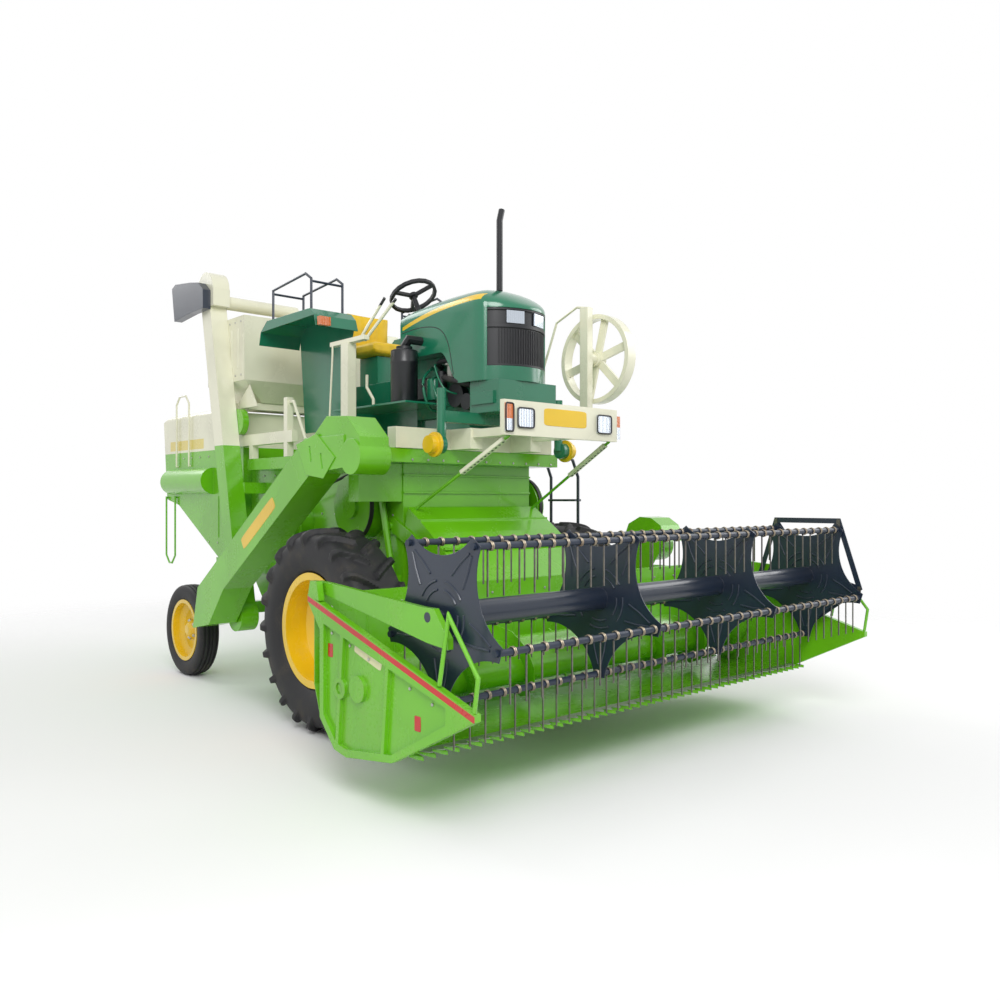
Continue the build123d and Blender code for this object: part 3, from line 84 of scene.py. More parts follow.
class HarvesterPaint(bpy.types.PropertyGroup):
    """Colours of the machine's finishes."""

    lime: bpy.props.FloatVectorProperty(
        name="Lime", description="Body and header enamel", default=(0.155, 0.52, 0.008), subtype="COLOR"
    )
    cream: bpy.props.FloatVectorProperty(
        name="Cream", description="Tank and frame enamel", default=(0.86, 0.85, 0.66), subtype="COLOR"
    )
    green: bpy.props.FloatVectorProperty(
        name="Tractor green", description="Bonnet and mudguards", default=(0.010, 0.185, 0.095), subtype="COLOR"
    )
    yellow: bpy.props.FloatVectorProperty(
        name="Yellow", description="Rims and stripe", default=(0.86, 0.56, 0.012), subtype="COLOR"
    )
    slate: bpy.props.FloatVectorProperty(
        name="Slate", description="Reel, ladder and rails", default=(0.014, 0.024, 0.046), subtype="COLOR"
    )
    black: bpy.props.FloatVectorProperty(
        name="Black", description="Pipes and grille", default=(0.006, 0.007, 0.010), subtype="COLOR"
    )
    red: bpy.props.FloatVectorProperty(
        name="Red", description="Reflecting tape", default=(0.58, 0.004, 0.004), subtype="COLOR"
    )
    amber: bpy.props.FloatVectorProperty(
        name="Amber", description="Turn lamps", default=(0.62, 0.13, 0.0), subtype="COLOR"
    )
    rubber: bpy.props.FloatVectorProperty(
        name="Rubber", description="Tyres", default=(0.008, 0.008, 0.010), subtype="COLOR"
    )
    dust: bpy.props.FloatVectorProperty(
        name="Dust", description="Settled dust", default=(0.30, 0.24, 0.16), subtype="COLOR"
    )
    band: bpy.props.FloatVectorProperty(
        name="Band", description="Blank band on the hood", default=(0.80, 0.66, 0.16), subtype="COLOR"
    )
    plate: bpy.props.FloatVectorProperty(
        name="Plate", description="Pale blank plates", default=(0.80, 0.78, 0.45), subtype="COLOR"
    )
    bowl: bpy.props.FloatVectorProperty(
        name="Bowl", description="Fuel filter bowl", default=(0.55, 0.55, 0.50), subtype="COLOR"
    )
    lamp: bpy.props.FloatVectorProperty(
        name="Lamp", description="Clear lamps", default=(0.50, 0.55, 0.62), subtype="COLOR"
    )


class HarvesterSizes(bpy.types.PropertyGroup):
    """Sizes of the added pieces."""

    lug_height: bpy.props.FloatProperty(
        name="Lug height", description="Drive tyre lugs", default=0.033, unit="LENGTH"
    )
    lug_half: bpy.props.FloatProperty(
        name="Lug half width", description="Half of a lug at its top", default=0.019, unit="LENGTH"
    )
    nut_radius: bpy.props.FloatProperty(
        name="Wheel nut", description="Radius over a wheel nut's corners", default=0.017, unit="LENGTH"
    )
    nut_height: bpy.props.FloatProperty(
        name="Nut height", description="Height of a wheel nut", default=0.016, unit="LENGTH"
    )
    bolt_radius: bpy.props.FloatProperty(
        name="Panel bolt", description="Radius over a panel bolt's corners", default=0.009, unit="LENGTH"
    )
    bolt_height: bpy.props.FloatProperty(
        name="Bolt height", description="Height of a panel bolt's head", default=0.007, unit="LENGTH"
    )
    bead_radius: bpy.props.FloatProperty(
        name="Pressed rib", description="Radius of a rib pressed in sheet", default=0.007, unit="LENGTH"
    )
    coil_radius: bpy.props.FloatProperty(
        name="Tine coil", description="Radius of a spring tine's coil", default=0.022, unit="LENGTH"
    )
    tine_pitch: bpy.props.FloatProperty(
        name="Tine pitch", description="Between neighbouring tines", default=0.105, unit="LENGTH"
    )
    strut_radius: bpy.props.FloatProperty(
        name="Strut", description="Radius of a front strut's rod", default=0.011, unit="LENGTH"
    )


class HarvesterStudio(bpy.types.PropertyGroup):
    """Camera and light."""

    lens: bpy.props.FloatProperty(name="Lens", description="Focal length in millimetres", default=32.1)
    eye_across: bpy.props.FloatProperty(
        name="Eye across", description="Camera to the machine's left", default=-4.503, unit="LENGTH"
    )
    eye_aft: bpy.props.FloatProperty(
        name="Eye aft", description="Camera behind the drive axle", default=-5.440, unit="LENGTH"
    )
    eye_height: bpy.props.FloatProperty(
        name="Eye height", description="Camera above the floor", default=1.612, unit="LENGTH"
    )
    key_power: bpy.props.FloatProperty(name="Key light", description="Watts", default=520.0)
    fill_power: bpy.props.FloatProperty(name="Fill light", description="Watts", default=260.0)
    ambient: bpy.props.FloatProperty(name="Ambient", description="Sky strength on the machine", default=0.55)


def at(x, aft, z):
    """A place given across, aft of the drive axle and up, in metres."""
    return np.array([x, axle_y + aft, z], float)


# Shader arithmetic


class Value:
    """One output of a material's nodes; arithmetic on it adds Math nodes."""

    def __init__(self, finish, socket):
        self.finish = finish
        self.socket = socket

    def made(self, operation, *operands):
        """The result of one Math node."""
        return self.finish.node("ShaderNodeMath", {"operation": operation}, dict(enumerate(operands)))

    def __add__(self, other):
        return self.made("ADD", self, other)

    def __sub__(self, other):
        return self.made("SUBTRACT", self, other)

    def __rsub__(self, other):
        return self.made("SUBTRACT", other, self)

    def __mul__(self, other):
        return self.made("MULTIPLY", self, other)

    def __gt__(self, other):
        return self.made("GREATER_THAN", self, other)

    def __lt__(self, other):
        return self.made("LESS_THAN", self, other)

    __radd__ = __add__
    __rmul__ = __mul__

    def absolute(self):
        """The value without its sign."""
        return self.made("ABSOLUTE", self)

    def root(self):
        """Its square root."""
        return self.made("SQRT", self)

    def sine(self):
        """The sine of the value in radians."""
        return self.made("SINE", self)

    def between(self, low, high):
        """1 where the value lies between the limits, else 0."""
        return (self > low) * (self < high)

    def ramp(self, low, high, start=0.0, end=1.0):
        """Goes smoothly from start to end as the value goes from low to high."""
        values = {"Value": self, "From Min": low, "From Max": high, "To Min": start, "To Max": end}
        return self.finish.node("ShaderNodeMapRange", {"interpolation_type": "SMOOTHSTEP"}, values)


class Finish:
    """A material under construction round one Principled shader."""

    def __init__(self, name):
        self.material = bpy.data.materials.new(name)
        self.material.use_nodes = True
        self.tree = self.material.node_tree
        self.tree.nodes.clear()
        self.shader = self.tree.nodes.new("ShaderNodeBsdfPrincipled")
        self.end = self.tree.nodes.new("ShaderNodeOutputMaterial")
        self.tree.links.new(self.shader.outputs[0], self.end.inputs[0])
        self.place = self.node("ShaderNodeTexCoord", output="Object")
        parts = self.node("ShaderNodeSeparateXYZ", {}, {0: self.place})
        outputs = parts.socket.node.outputs
        self.x, self.y, self.z = (Value(self, outputs[axis]) for axis in range(3))
        self.aft = self.y - axle_y
        self.out = self.x.absolute()

    def radius(self, hub_y, hub_z):
        """Distance from an axis that runs across the machine."""
        along, up = self.y - hub_y, self.z - hub_z
        return (along * along + up * up).root()

    def feed(self, socket, value):
        """Link a value to a socket, or set a constant on it."""
        if isinstance(value, Value):
            self.tree.links.new(value.socket, socket)
        else:
            socket.default_value = value

    def node(self, kind, settings=None, values=None, output=0):
        """Add any node: its type, its settings, then the values or links of its sockets."""
        node = self.tree.nodes.new(kind)
        for key, value in (settings or {}).items():
            setattr(node, key, value)
        for key, value in (values or {}).items():
            self.feed(node.inputs[key], value)
        return Value(self, node.outputs[output])

    def noise(self, scale, detail=2.0, stretch=(1.0, 1.0, 1.0)):
        """Soft noise on object coordinates, about 0.5 on average."""
        place = self.node("ShaderNodeMapping", {}, {"Vector": self.place, "Scale": stretch})
        return self.node("ShaderNodeTexNoise", {}, {"Vector": place, "Scale": scale, "Detail": detail})

    def mix(self, share, first, second):
        """The colour that goes from first to second as share goes from 0 to 1."""
        values = {0: share, 6: colour(first), 7: colour(second)}
        return self.node("ShaderNodeMix", {"data_type": "RGBA"}, values, output=2)

    def bump(self, height, depth, strength=1.0, edge=0.0):
        """Feed the shader's normal from a height that varies by depth metres, with edges softened by edge."""
        values = {"Height": height, "Distance": depth, "Strength": strength}
        if edge:
            values["Normal"] = self.node("ShaderNodeBevel", {"samples": 4}, {"Radius": edge})
        self.feed(self.shader.inputs["Normal"], self.node("ShaderNodeBump", {}, values))

    def set(self, **values):
        """Set or link the shader's own sockets."""
        for key, value in values.items():
            self.feed(self.shader.inputs[key.replace("_", " ")], value)


def colour(value):
    """A colour with its alpha, or a link left as it is."""
    if isinstance(value, Value):
        return value
    return (*tuple(value)[:3], 1.0)


def enamel(name, base, gloss=0.24, dust=0.30, zones=(), coat=0.45):
    """Sprayed enamel: slow shade drift, orange peel, streaks of dust that gather low down.
    zones are (mask maker, colour) pairs painted over the base in turn."""
    paint = bpy.context.scene.harvester_paint
    finish = Finish(name)
    broad = finish.noise(1.6, 3.0)
    peel = finish.noise(230.0, 1.0)
    streaks = finish.noise(5.0, 5.0, (1.0, 1.0, 0.25))
    specks = finish.noise(48.0, 4.0)
    shade = colour(base)
    for mask, painted in zones:
        shade = finish.mix(mask(finish), shade, painted)
    shade = finish.mix(broad.ramp(0.35, 0.75, 0.0, 0.16), shade, [0.0, 0.0, 0.0])
    low = finish.z.ramp(0.2, 1.5, 1.0, 0.25)
    film = streaks.ramp(0.48, 0.80) * specks.ramp(0.30, 0.72) * low * dust
    shade = finish.mix(film, shade, paint.dust)
    finish.set(
        Base_Color=shade,
        Roughness=film * 0.9 + broad * 0.10 + (gloss - 0.03),
        Coat_Roughness=0.14,
        IOR=1.5,
    )
    finish.feed(finish.shader.inputs["Coat Weight"], coat - film * coat)
    finish.bump(peel + specks * 0.6, 0.0006, 0.35, 0.006)
    return finish.material


def rubber(name, hub_y, hub_z):
    """Tyre rubber: dusty pores, with fine rings round the wheel's centre on the sidewall."""
    paint = bpy.context.scene.harvester_paint
    finish = Finish(name)
    reach = finish.radius(hub_y, hub_z)
    rings = (reach * 520.0).sine() * reach.between(0.44, 0.62)
    grain = finish.noise(120.0, 4.0)
    patches = finish.noise(7.0, 5.0)
    film = patches.ramp(0.48, 0.78, 0.0, 0.20) * grain.ramp(0.3, 0.7)
    finish.set(Base_Color=finish.mix(film, paint.rubber, paint.dust), Roughness=0.62 + film * 0.8)
    finish.bump(grain + rings * 0.25, 0.0012, 0.5)
    return finish.material


worn_shade, zinc_shade, spring_shade = (0.42, 0.42, 0.41), (0.50, 0.50, 0.47), (0.34, 0.29, 0.22)
rust_shade, dark_tine, bright_tine = (0.16, 0.06, 0.025), (0.10, 0.10, 0.10), (0.28, 0.25, 0.22)


def steel(name, shade=worn_shade, roughness=0.34):
    """Worn bright steel with fine scratches along the machine's width and a little rust."""
    finish = Finish(name)
    scratches = finish.noise(160.0, 3.0, (0.05, 1.0, 1.0))
    stains = finish.noise(9.0, 5.0)
    rust = stains.ramp(0.58, 0.74, 0.0, 0.55)
    finish.set(
        Base_Color=finish.mix(rust, shade, rust_shade),
        Metallic=1.0 - rust,
        Roughness=scratches * 0.25 + rust * 0.3 + (roughness - 0.1),
    )
    finish.bump(scratches, 0.0004, 0.4)
    return finish.material


def casting(name, base):
    """Painted cast iron: sandy grain under dull enamel, oily in patches."""
    paint = bpy.context.scene.harvester_paint
    finish = Finish(name)
    sand = finish.noise(150.0, 4.0)
    oil = finish.noise(6.0, 4.0).ramp(0.45, 0.65)
    film = finish.noise(20.0, 5.0).ramp(0.5, 0.75, 0.0, 0.35)
    shade = finish.mix(oil * 0.55, base, paint.black)
    finish.set(Base_Color=finish.mix(film, shade, paint.dust), Roughness=0.55 - oil * 0.2 + film * 0.4)
    finish.bump(sand, 0.0015, 0.6)
    return finish.material


def vinyl(name, base):
    """Seat vinyl: a fine pebbled grain with soft sheen and faint wear."""
    finish = Finish(name)
    pebbles = finish.node(
        "ShaderNodeTexVoronoi", {"feature": "SMOOTH_F1"}, {"Vector": finish.place, "Scale": 260.0}
    )
    wear = finish.noise(9.0, 4.0)
    dark = tuple(channel * 0.55 for channel in base)
    finish.set(Base_Color=finish.mix(wear.ramp(0.4, 0.75, 0.0, 0.5), base, dark), Roughness=0.42 + wear * 0.2)
    finish.bump(pebbles, 0.0008, 0.5)
    return finish.material


# Turn lamps: they stand outside this half width, above this height in front, or behind the axle
turn_lamp_out, turn_lamp_low, tail_lamp_aft = 0.488, 2.148, 0.5


def lens(name):
    """Lamp glass over a bright fluted reflector, amber in the turn lamps."""
    paint = bpy.context.scene.harvester_paint
    finish = Finish(name)
    flutes = (finish.x * 420.0).sine()
    front = (finish.out > turn_lamp_out) * (1.0 - (finish.aft > 0.0)) * (finish.z > turn_lamp_low)
    turn = front + (finish.aft > tail_lamp_aft)
    finish.set(
        Base_Color=finish.mix(turn, paint.lamp, paint.amber),
        Metallic=(1.0 - turn) * 0.7,
        Roughness=0.16 + flutes * 0.04,
        Coat_Weight=1.0,
        Coat_Roughness=0.03,
    )
    finish.bump(flutes, 0.0012, 0.6)
    return finish.material


# Meshes from arrays


def grid_faces(rows, columns, wrap_rows=False, wrap_columns=False):
    """Quads between the points of a grid, joined end to end where it wraps."""
    row = np.arange(rows if wrap_rows else rows - 1)
    column = np.arange(columns if wrap_columns else columns - 1)
    row, column = (index.ravel() for index in np.meshgrid(row, column, indexing="ij"))
    next_row, next_column = (row + 1) % rows, (column + 1) % columns
    corners = (row * columns + column, row * columns + next_column)
    corners += (next_row * columns + next_column, next_row * columns + column)
    return np.stack(corners, axis=1)


merge_reach, crease = 1e-6, math.radians(42)


def piece(name, points, faces, material, body, smooth=True):
    """A finished piece at the origin from points and faces, merged, outward and riding a body. Edges
    sharper than the crease angle stay sharp."""
    mesh = bpy.data.meshes.new(name)
    mesh.from_pydata(np.asarray(points).reshape(-1, 3).tolist(), [], np.asarray(faces).tolist())
    tidy = bmesh.new()
    tidy.from_mesh(mesh)
    bmesh.ops.remove_doubles(tidy, verts=tidy.verts, dist=merge_reach)
    bmesh.ops.recalc_face_normals(tidy, faces=tidy.faces)
    tidy.to_mesh(mesh)
    tidy.free()
    mesh.polygons.foreach_set("use_smooth", [smooth] * len(mesh.polygons))
    if smooth:
        mesh.set_sharp_from_angle(angle=crease)
    mesh.materials.append(material)
    made = bpy.data.objects.new(name, mesh)
    bpy.context.scene.collection.objects.link(made)
    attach(made, body)
    return made


def unit(vectors):
    """Vectors scaled to length one."""
    return vectors / np.linalg.norm(vectors, axis=-1, keepdims=True)


def circle(count):
    """Equal steps of angle round a full turn."""
    return np.arange(count) * 2 * math.pi / count


def rounded(width, height, power, count):
    """Outline of a rectangle with round corners: sines and cosines raised to a small power."""
    cosine, sine = np.cos(circle(count)), np.sin(circle(count))
    across = np.sign(cosine) * np.abs(cosine) ** power * width / 2
    return across, np.sign(sine) * np.abs(sine) ** power * height / 2


def copies(points, faces, origins, directions):
    """One small shape repeated: each copy is turned so that its own z runs along a direction."""
    origins, directions = np.asarray(origins, float), unit(np.asarray(directions, float))
    helper = np.where(np.abs(directions[:, :1]) > 0.9, [[0.0, 1.0, 0.0]], [[1.0, 0.0, 0.0]])
    across = unit(np.cross(helper, directions))
    third = np.cross(directions, across)
    turned = (
        points[None, :, :1] * across[:, None]
        + points[None, :, 1:2] * third[:, None]
        + points[None, :, 2:] * directions[:, None]
        + origins[:, None]
    )
    shift = np.arange(len(origins))[:, None, None] * len(points)
    return turned.reshape(-1, 3), (faces[None] + shift).reshape(-1, faces.shape[1])


def hexagon_head(radius, height):
    """A hexagon head: rings of six corners at the foot, the rim and the chamfered top, closed by a point."""
    angle = circle(6)
    sunk, rim, top = -0.002, height * 0.75, radius * 0.82
    rings = [(radius, sunk), (radius, rim), (top, height), (0.0, height)]
    points = [
        np.stack([r * np.cos(angle), r * np.sin(angle), np.full(6, level)], axis=1) for r, level in rings
    ]
    return np.concatenate(points), grid_faces(len(rings), 6, wrap_columns=True)


def tube(path, radius, up, sides=8, closed=False):
    """A round tube: at each point of the path a circle stands square to the path's direction."""
    path = np.asarray(path, float)
    if closed:
        run = np.roll(path, -1, axis=0) - np.roll(path, 1, axis=0)
    else:
        run = np.gradient(path, axis=0)
        path = np.concatenate([path[:1], path, path[-1:]])
        run = np.concatenate([run[:1], run, run[-1:]])
    size = np.full(len(path), radius)
    if not closed:
        size[[0, -1]] = 0.0
    across = unit(np.cross(unit(run), np.asarray(up, float)))
    other = np.cross(across, unit(run))
    turn = circle(sides)
    ring = np.cos(turn)[None, :, None] * across[:, None] + np.sin(turn)[None, :, None] * other[:, None]
    points = path[:, None] + size[:, None, None] * ring
    return points.reshape(-1, 3), grid_faces(len(path), sides, wrap_rows=closed, wrap_columns=True)


def joined(shapes):
    """Several point and face arrays as one."""
    points, faces, count = [], [], 0
    for some_points, some_faces in shapes:
        points.append(np.asarray(some_points).reshape(-1, 3))
        faces.append(np.asarray(some_faces) + count)
        count += len(points[-1])
    return np.concatenate(points), np.concatenate(faces)


def smooth_line(points, steps):
    """A Catmull-Rom curve through the points: a cubic between each pair, set by its neighbours."""
    points = np.asarray(points, float)
    padded = np.concatenate([2 * points[:1] - points[1:2], points, 2 * points[-1:] - points[-2:-1]])
    first, second, third, fourth = padded[:-3], padded[1:-2], padded[2:-1], padded[3:]
    share = (np.arange(steps) / steps)[None, :, None]
    first, second, third, fourth = (part[:, None] for part in (first, second, third, fourth))
    line = 0.5 * (
        2 * second
        + (third - first) * share
        + (2 * first - 5 * second + 4 * third - fourth) * share**2
        + (3 * second - first - 3 * third + fourth) * share**3
    )
    return np.concatenate([line.reshape(-1, points.shape[1]), points[-1:]])


def landed(node, start, direction):
    """Where a line from start along direction first meets a CAD node, and the way that face looks."""
    line = Vector(start), Vector(direction).normalized()
    found, place, normal, _ = frame["nodes"][node].ray_cast(*line)
    return (np.array(place), np.array(normal)) if found else None


def heads(name, node, starts, direction, radius, height, material, slot_name):
    """Hexagon heads seated where lines from the starts meet a node."""
    hits = [hit for hit in (landed(node, start, direction) for start in starts) if hit]
    if not hits:
        raise RuntimeError(f"{name} meets nothing on {node}")
    shape, faces = hexagon_head(radius, height)
    points, faces = copies(shape, faces, [hit[0] for hit in hits], [hit[1] for hit in hits])
    return piece(name, points, faces, material, body_of_node[node], smooth=False)


def ribs(name, node, lines, direction, radius, material):
    """Half-round pressed ribs between pairs of starts that are carried onto a node."""
    shapes = []
    for low, high in lines:
        ends = [landed(node, start, direction) for start in (low, high)]
        if all(ends):
            path = np.linspace(ends[0][0], ends[1][0], 9)
            shapes.append(tube(path, radius, direction, 8))
    if not shapes:
        raise RuntimeError(f"{name} meets nothing on {node}")
    points, faces = joined(shapes)
    return piece(name, points, faces, material, body_of_node[node])


def label(name, node, start, direction, along, width, height, material):
    """A thin blank plate with rounded corners, flat on the face that a line from start meets."""
    place, normal = landed(node, start, direction)
    normal = unit(normal)
    along = unit(np.asarray(along, float) - np.dot(along, normal) * normal)
    up = np.cross(normal, along)
    wide, high = rounded(width, height, 0.22, 32)
    levels = ((1.0, -0.001), (1.0, 0.0012), (0.995, 0.0016), (0.0, 0.0016))
    flat = wide[:, None] * along + high[:, None] * up
    points = [place + share * flat + lift * normal for share, lift in levels]
    faces = grid_faces(len(levels), len(wide), wrap_columns=True)
    return piece(name, np.concatenate(points), faces, material, body_of_node[node], smooth=False)


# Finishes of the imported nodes

node_groups = (
    ("cream", "grain_tank tank_frame bumper tractor_rails belt_pulley pulley_bracket"),
    ("green", "fender_right fender_left tractor_transmission"),
    ("slate", "reel reel_star ladder fender_rails elevator_guard"),
    ("black", "grille exhaust_pipe steering_wheel engine_fittings"),
)


# Heights where the enamel changes on the hood and grain elevator, the hoops and the control post's grips
hood_split, hoop_split, grip_split = 2.10, 1.8, 3.06


def two_tone(level):
    """Mask that is 1 above a height."""
    return lambda finish: finish.z > level


class HARVESTER_OT_finishes(bpy.types.Operator):
    """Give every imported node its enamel, rubber, steel or glass."""

    bl_idname = "harvester.finishes"
    bl_label = "Finishes"

    def execute(self, context):
        paint = context.scene.harvester_paint
        library = {
            "lime": enamel("lime_enamel", paint.lime),
            "cream": enamel("cream_enamel", paint.cream, dust=0.22),
            "green": enamel("green_enamel", paint.green, gloss=0.2, dust=0.14),
            "slate": enamel("slate_enamel", paint.slate, gloss=0.30, dust=0.06, coat=0.3),
            "black": enamel("black_enamel", paint.black, gloss=0.48, dust=0.08, coat=0.1),
            "yellow": enamel("yellow_enamel", paint.yellow, dust=0.35),
            "steel": steel("worn_steel"),
        }
        library["hood"] = enamel(
            "hood_enamel", paint.lime, zones=((two_tone(hood_split), paint.cream), (hood_band, paint.band))
        )
        library["leg"] = enamel("leg_enamel", paint.lime, zones=((two_tone(hood_split), paint.cream),))
        library["hoop"] = enamel("hoop_enamel", paint.lime, zones=((two_tone(hoop_split), paint.cream),))
        library["bonnet"] = enamel(
            "bonnet_enamel", paint.green, gloss=0.16, dust=0.08, zones=((bonnet_stripe, paint.yellow),)
        )
        library["header"] = enamel("header_enamel", paint.lime, zones=((panel_tape, paint.red),))
        library["axle"] = enamel("axle_enamel", paint.green, zones=((hub_cap, paint.yellow),))
        library["post"] = enamel("post_enamel", paint.cream, zones=((two_tone(grip_split), paint.black),))
        library["engine"] = casting("engine_casting", paint.green)
        library["lens"] = lens("lamp_lens")
        chosen = {node: "lime" for node in frame["nodes"]}
        for group, names in node_groups:
            chosen.update({node: group for node in names.split()})
        chosen.update(
            rear_hood="hood",
            grain_elevator="leg",
            hood_hoops="hoop",
            tractor_bonnet="bonnet",
            header_platform="header",
            tractor_front_axle="axle",
            control_post="post",
            tractor_engine="engine",
            lamps="lens",
            lift_rods="steel",
            knife="steel",
        )
        for node, made in frame["nodes"].items():
            if node.startswith("rim_"):
                chosen[node] = "yellow"
            if node.startswith("tine_bar"):
                hinge = joints[f"{node}_turn"]["pos_m"]
                chosen[node] = node
                library[node] = tine_finish(f"{node}_enamel", hinge[1], hinge[2])
            if node.startswith("tyre_"):
                low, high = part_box(node)
                chosen[node] = node
                library[node] = rubber(f"{node}_rubber", (low.y + high.y) / 2, (low.z + high.z) / 2)
            made.data.materials.clear()
            made.data.materials.append(library[chosen[node]])
        return {"FINISHED"}


def hood_band(finish):
    """Blank band along the hood's side where the two enamels meet."""
    bottom, top, front, rear, flank = 2.125, 2.225, 3.12, 3.95, 0.70
    return finish.z.between(bottom, top) * finish.aft.between(front, rear) * (finish.out > flank)


def bonnet_stripe(finish):
    """Stripe along the upper side of the bonnet: its height falls with the square of the way from its
    front end, and it thins towards the rear."""
    front, rear, height, fall, half, taper, flank = -0.62, 0.30, 3.078, 0.125, 0.024, 0.010, 0.20
    run = (finish.aft - front) * (1 / 0.95)
    off = (finish.z - height + run * run * fall).absolute()
    return (off < half - run * taper) * finish.aft.between(front, rear) * (finish.out > flank)


def panel_tape(finish):
    """Tape along the sloping top edge of the header's end panels."""
    panel_front, slope, height, low, high, flank = -2.4, 0.2945, 0.645, 0.040, 0.008, 0.0015
    edge = (finish.aft - panel_front) * slope + height
    return (finish.z > edge - low) * (finish.z < edge - high) * (finish.out > header_half - flank)


def hub_cap(finish):
    """Caps on the ends of the tractor's front axle."""
    cap = 0.645
    return finish.out > cap


def tine_finish(name, hinge_y, hinge_z):
    """Dark enamel on the bar and bright spring steel on the tines that leave it."""
    paint = bpy.context.scene.harvester_paint
    finish = Finish(name)
    bar_radius = 0.026
    tine = finish.radius(hinge_y, hinge_z) > bar_radius
    wear = finish.noise(40.0, 3.0)
    finish.set(
        Base_Color=finish.mix(tine, paint.slate, finish.mix(wear, dark_tine, bright_tine)),
        Metallic=tine * 0.85,
        Roughness=0.34 + wear * 0.12,
    )
    finish.bump(wear, 0.0005, 0.4)
    return finish.material


class HARVESTER_OT_tyres(bpy.types.Operator):
    """Round lugged drive tyres and ribbed steered tyres in place of the plain ones."""

    bl_idname = "harvester.tyres"
    bl_label = "Tyres"

    def execute(self, context):
        for side, name in sides:
            drive_tyre(context, side, f"tyre_front_{name}", f"front_wheel_{name}")
            steered_tyre(f"tyre_rear_{name}", f"rear_wheel_{name}")
        return {"FINISHED"}


def wheel_surface(node, line, turns):
    """A closed line of (across, radius) points turned about the wheel's axis, with its grid of angles."""
    low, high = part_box(node)
    centre = np.array((low + high) / 2)
    return centre, circle(turns)[:, None], line[None, :, 0], line[None, :, 1]


def placed(centre, angle, across, radius):
    """Points at an angle and radius about a wheel's axis."""
    across = np.broadcast_to(across, np.broadcast_shapes(across.shape, angle.shape))
    around = radius * np.cos(angle), radius * np.sin(angle)
    return np.stack([centre[0] + across, centre[1] + around[0], centre[2] + around[1]], axis=-1)


def drive_tyre(context, side, node, body):
    """The carcass line carries bars: each bar's middle runs round the wheel by the sweep as it runs
    outward, and the surface is lifted along its normal by a smooth step, 3b^2 - 2b^3, of the share b that
    falls over the slope with the distance from that middle. The lift fades out below the shoulder."""
    sizes = context.scene.harvester_sizes
    bars, tread, sweep, rake, slope, gap = 20, 0.69, 0.16, 0.78, 0.012, 0.008
    shoulder, fade = 0.585, 0.05
    half = [(0.0, 0.676), (0.09, 0.674), (0.160, 0.662), (0.193, 0.632), (0.205, 0.57), (0.204, 0.50)]
    half += [(0.184, 0.43), (0.158, 0.402)]
    control = [(-x, r) for x, r in half[::-1]] + half[1:]
    line = smooth_line(control, 5)
    centre, angle, across, radius = wheel_surface(node, line, 600)
    run = np.gradient(line, axis=0)
    normal = unit(np.stack([-run[:, 1], run[:, 0]], axis=1))
    normal *= np.sign(normal[:, 1:2] + 1e-9 + 2 * np.abs(line[:, :1]) * np.sign(line[:, :1]) * normal[:, :1])
    pitch = 2 * math.pi / bars
    flank = np.where(across >= 0, 1.0, -1.0)
    lead = side * sweep * (np.abs(across) / 0.2) / tread
    phase = angle - lead - np.where(flank > 0, 0.0, pitch / 2)
    off = np.abs((phase + pitch / 2) % pitch - pitch / 2) * tread * rake
    bar = np.clip((sizes.lug_half + gap - off) / slope, 0.0, 1.0)
    reach = np.clip((radius - shoulder) / fade, 0.0, 1.0)
    lift = sizes.lug_height * (bar * bar * (3 - 2 * bar)) * reach
    points = placed(centre, angle, across + lift * normal[None, :, 0], radius + lift * normal[None, :, 1])
    faces = grid_faces(points.shape[0], points.shape[1], wrap_rows=True, wrap_columns=True)
    made = piece(f"{node}_lugged", points, faces, frame["nodes"][node].data.materials[0], body)
    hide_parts(node)


def steered_tyre(node, body):
    """The line dips into four grooves across the tread and is turned about the axis."""
    turns = 128
    half = [(0.0, 0.414), (0.009, 0.414), (0.012, 0.404), (0.020, 0.404), (0.024, 0.4135), (0.044, 0.4125)]
    half += [(0.048, 0.402), (0.056, 0.401), (0.060, 0.410), (0.076, 0.403), (0.087, 0.380), (0.0895, 0.345)]
    half += [(0.083, 0.305), (0.072, 0.281)]
    control = [(-x, r) for x, r in half[::-1]] + half[1:]
    line = smooth_line(control, 3)
    centre, angle, across, radius = wheel_surface(node, line, turns)
    points = placed(centre, angle, across, np.broadcast_to(radius, (turns, len(line))))
    faces = grid_faces(turns, len(line), wrap_rows=True, wrap_columns=True)
    made = piece(f"{node}_ribbed", points, faces, frame["nodes"][node].data.materials[0], body)
    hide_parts(node)


class HARVESTER_OT_seat(bpy.types.Operator):
    """Two padded cushions in place of the driver's plain seat."""

    bl_idname = "harvester.seat"
    bl_label = "Seat"

    def execute(self, context):
        low, high = (np.array(corner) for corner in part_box("seat"))
        cover = vinyl("seat_vinyl", tuple(context.scene.harvester_paint.yellow))
        squab_length, squab_depth, inset, gap, rise = 0.40, 0.12, 0.01, 0.001, 0.05
        split = low[1] + squab_length
        squab = cushion("seat_squab", low, np.array([high[0], split, low[2] + squab_depth]), 2, cover)
        back_low = np.array([low[0] + inset, split + gap, low[2] + rise])
        back = cushion("seat_back", back_low, np.array([high[0] - inset, high[1], high[2]]), 1, cover)
        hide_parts("seat")
        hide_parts("seat")
        return {"FINISHED"}


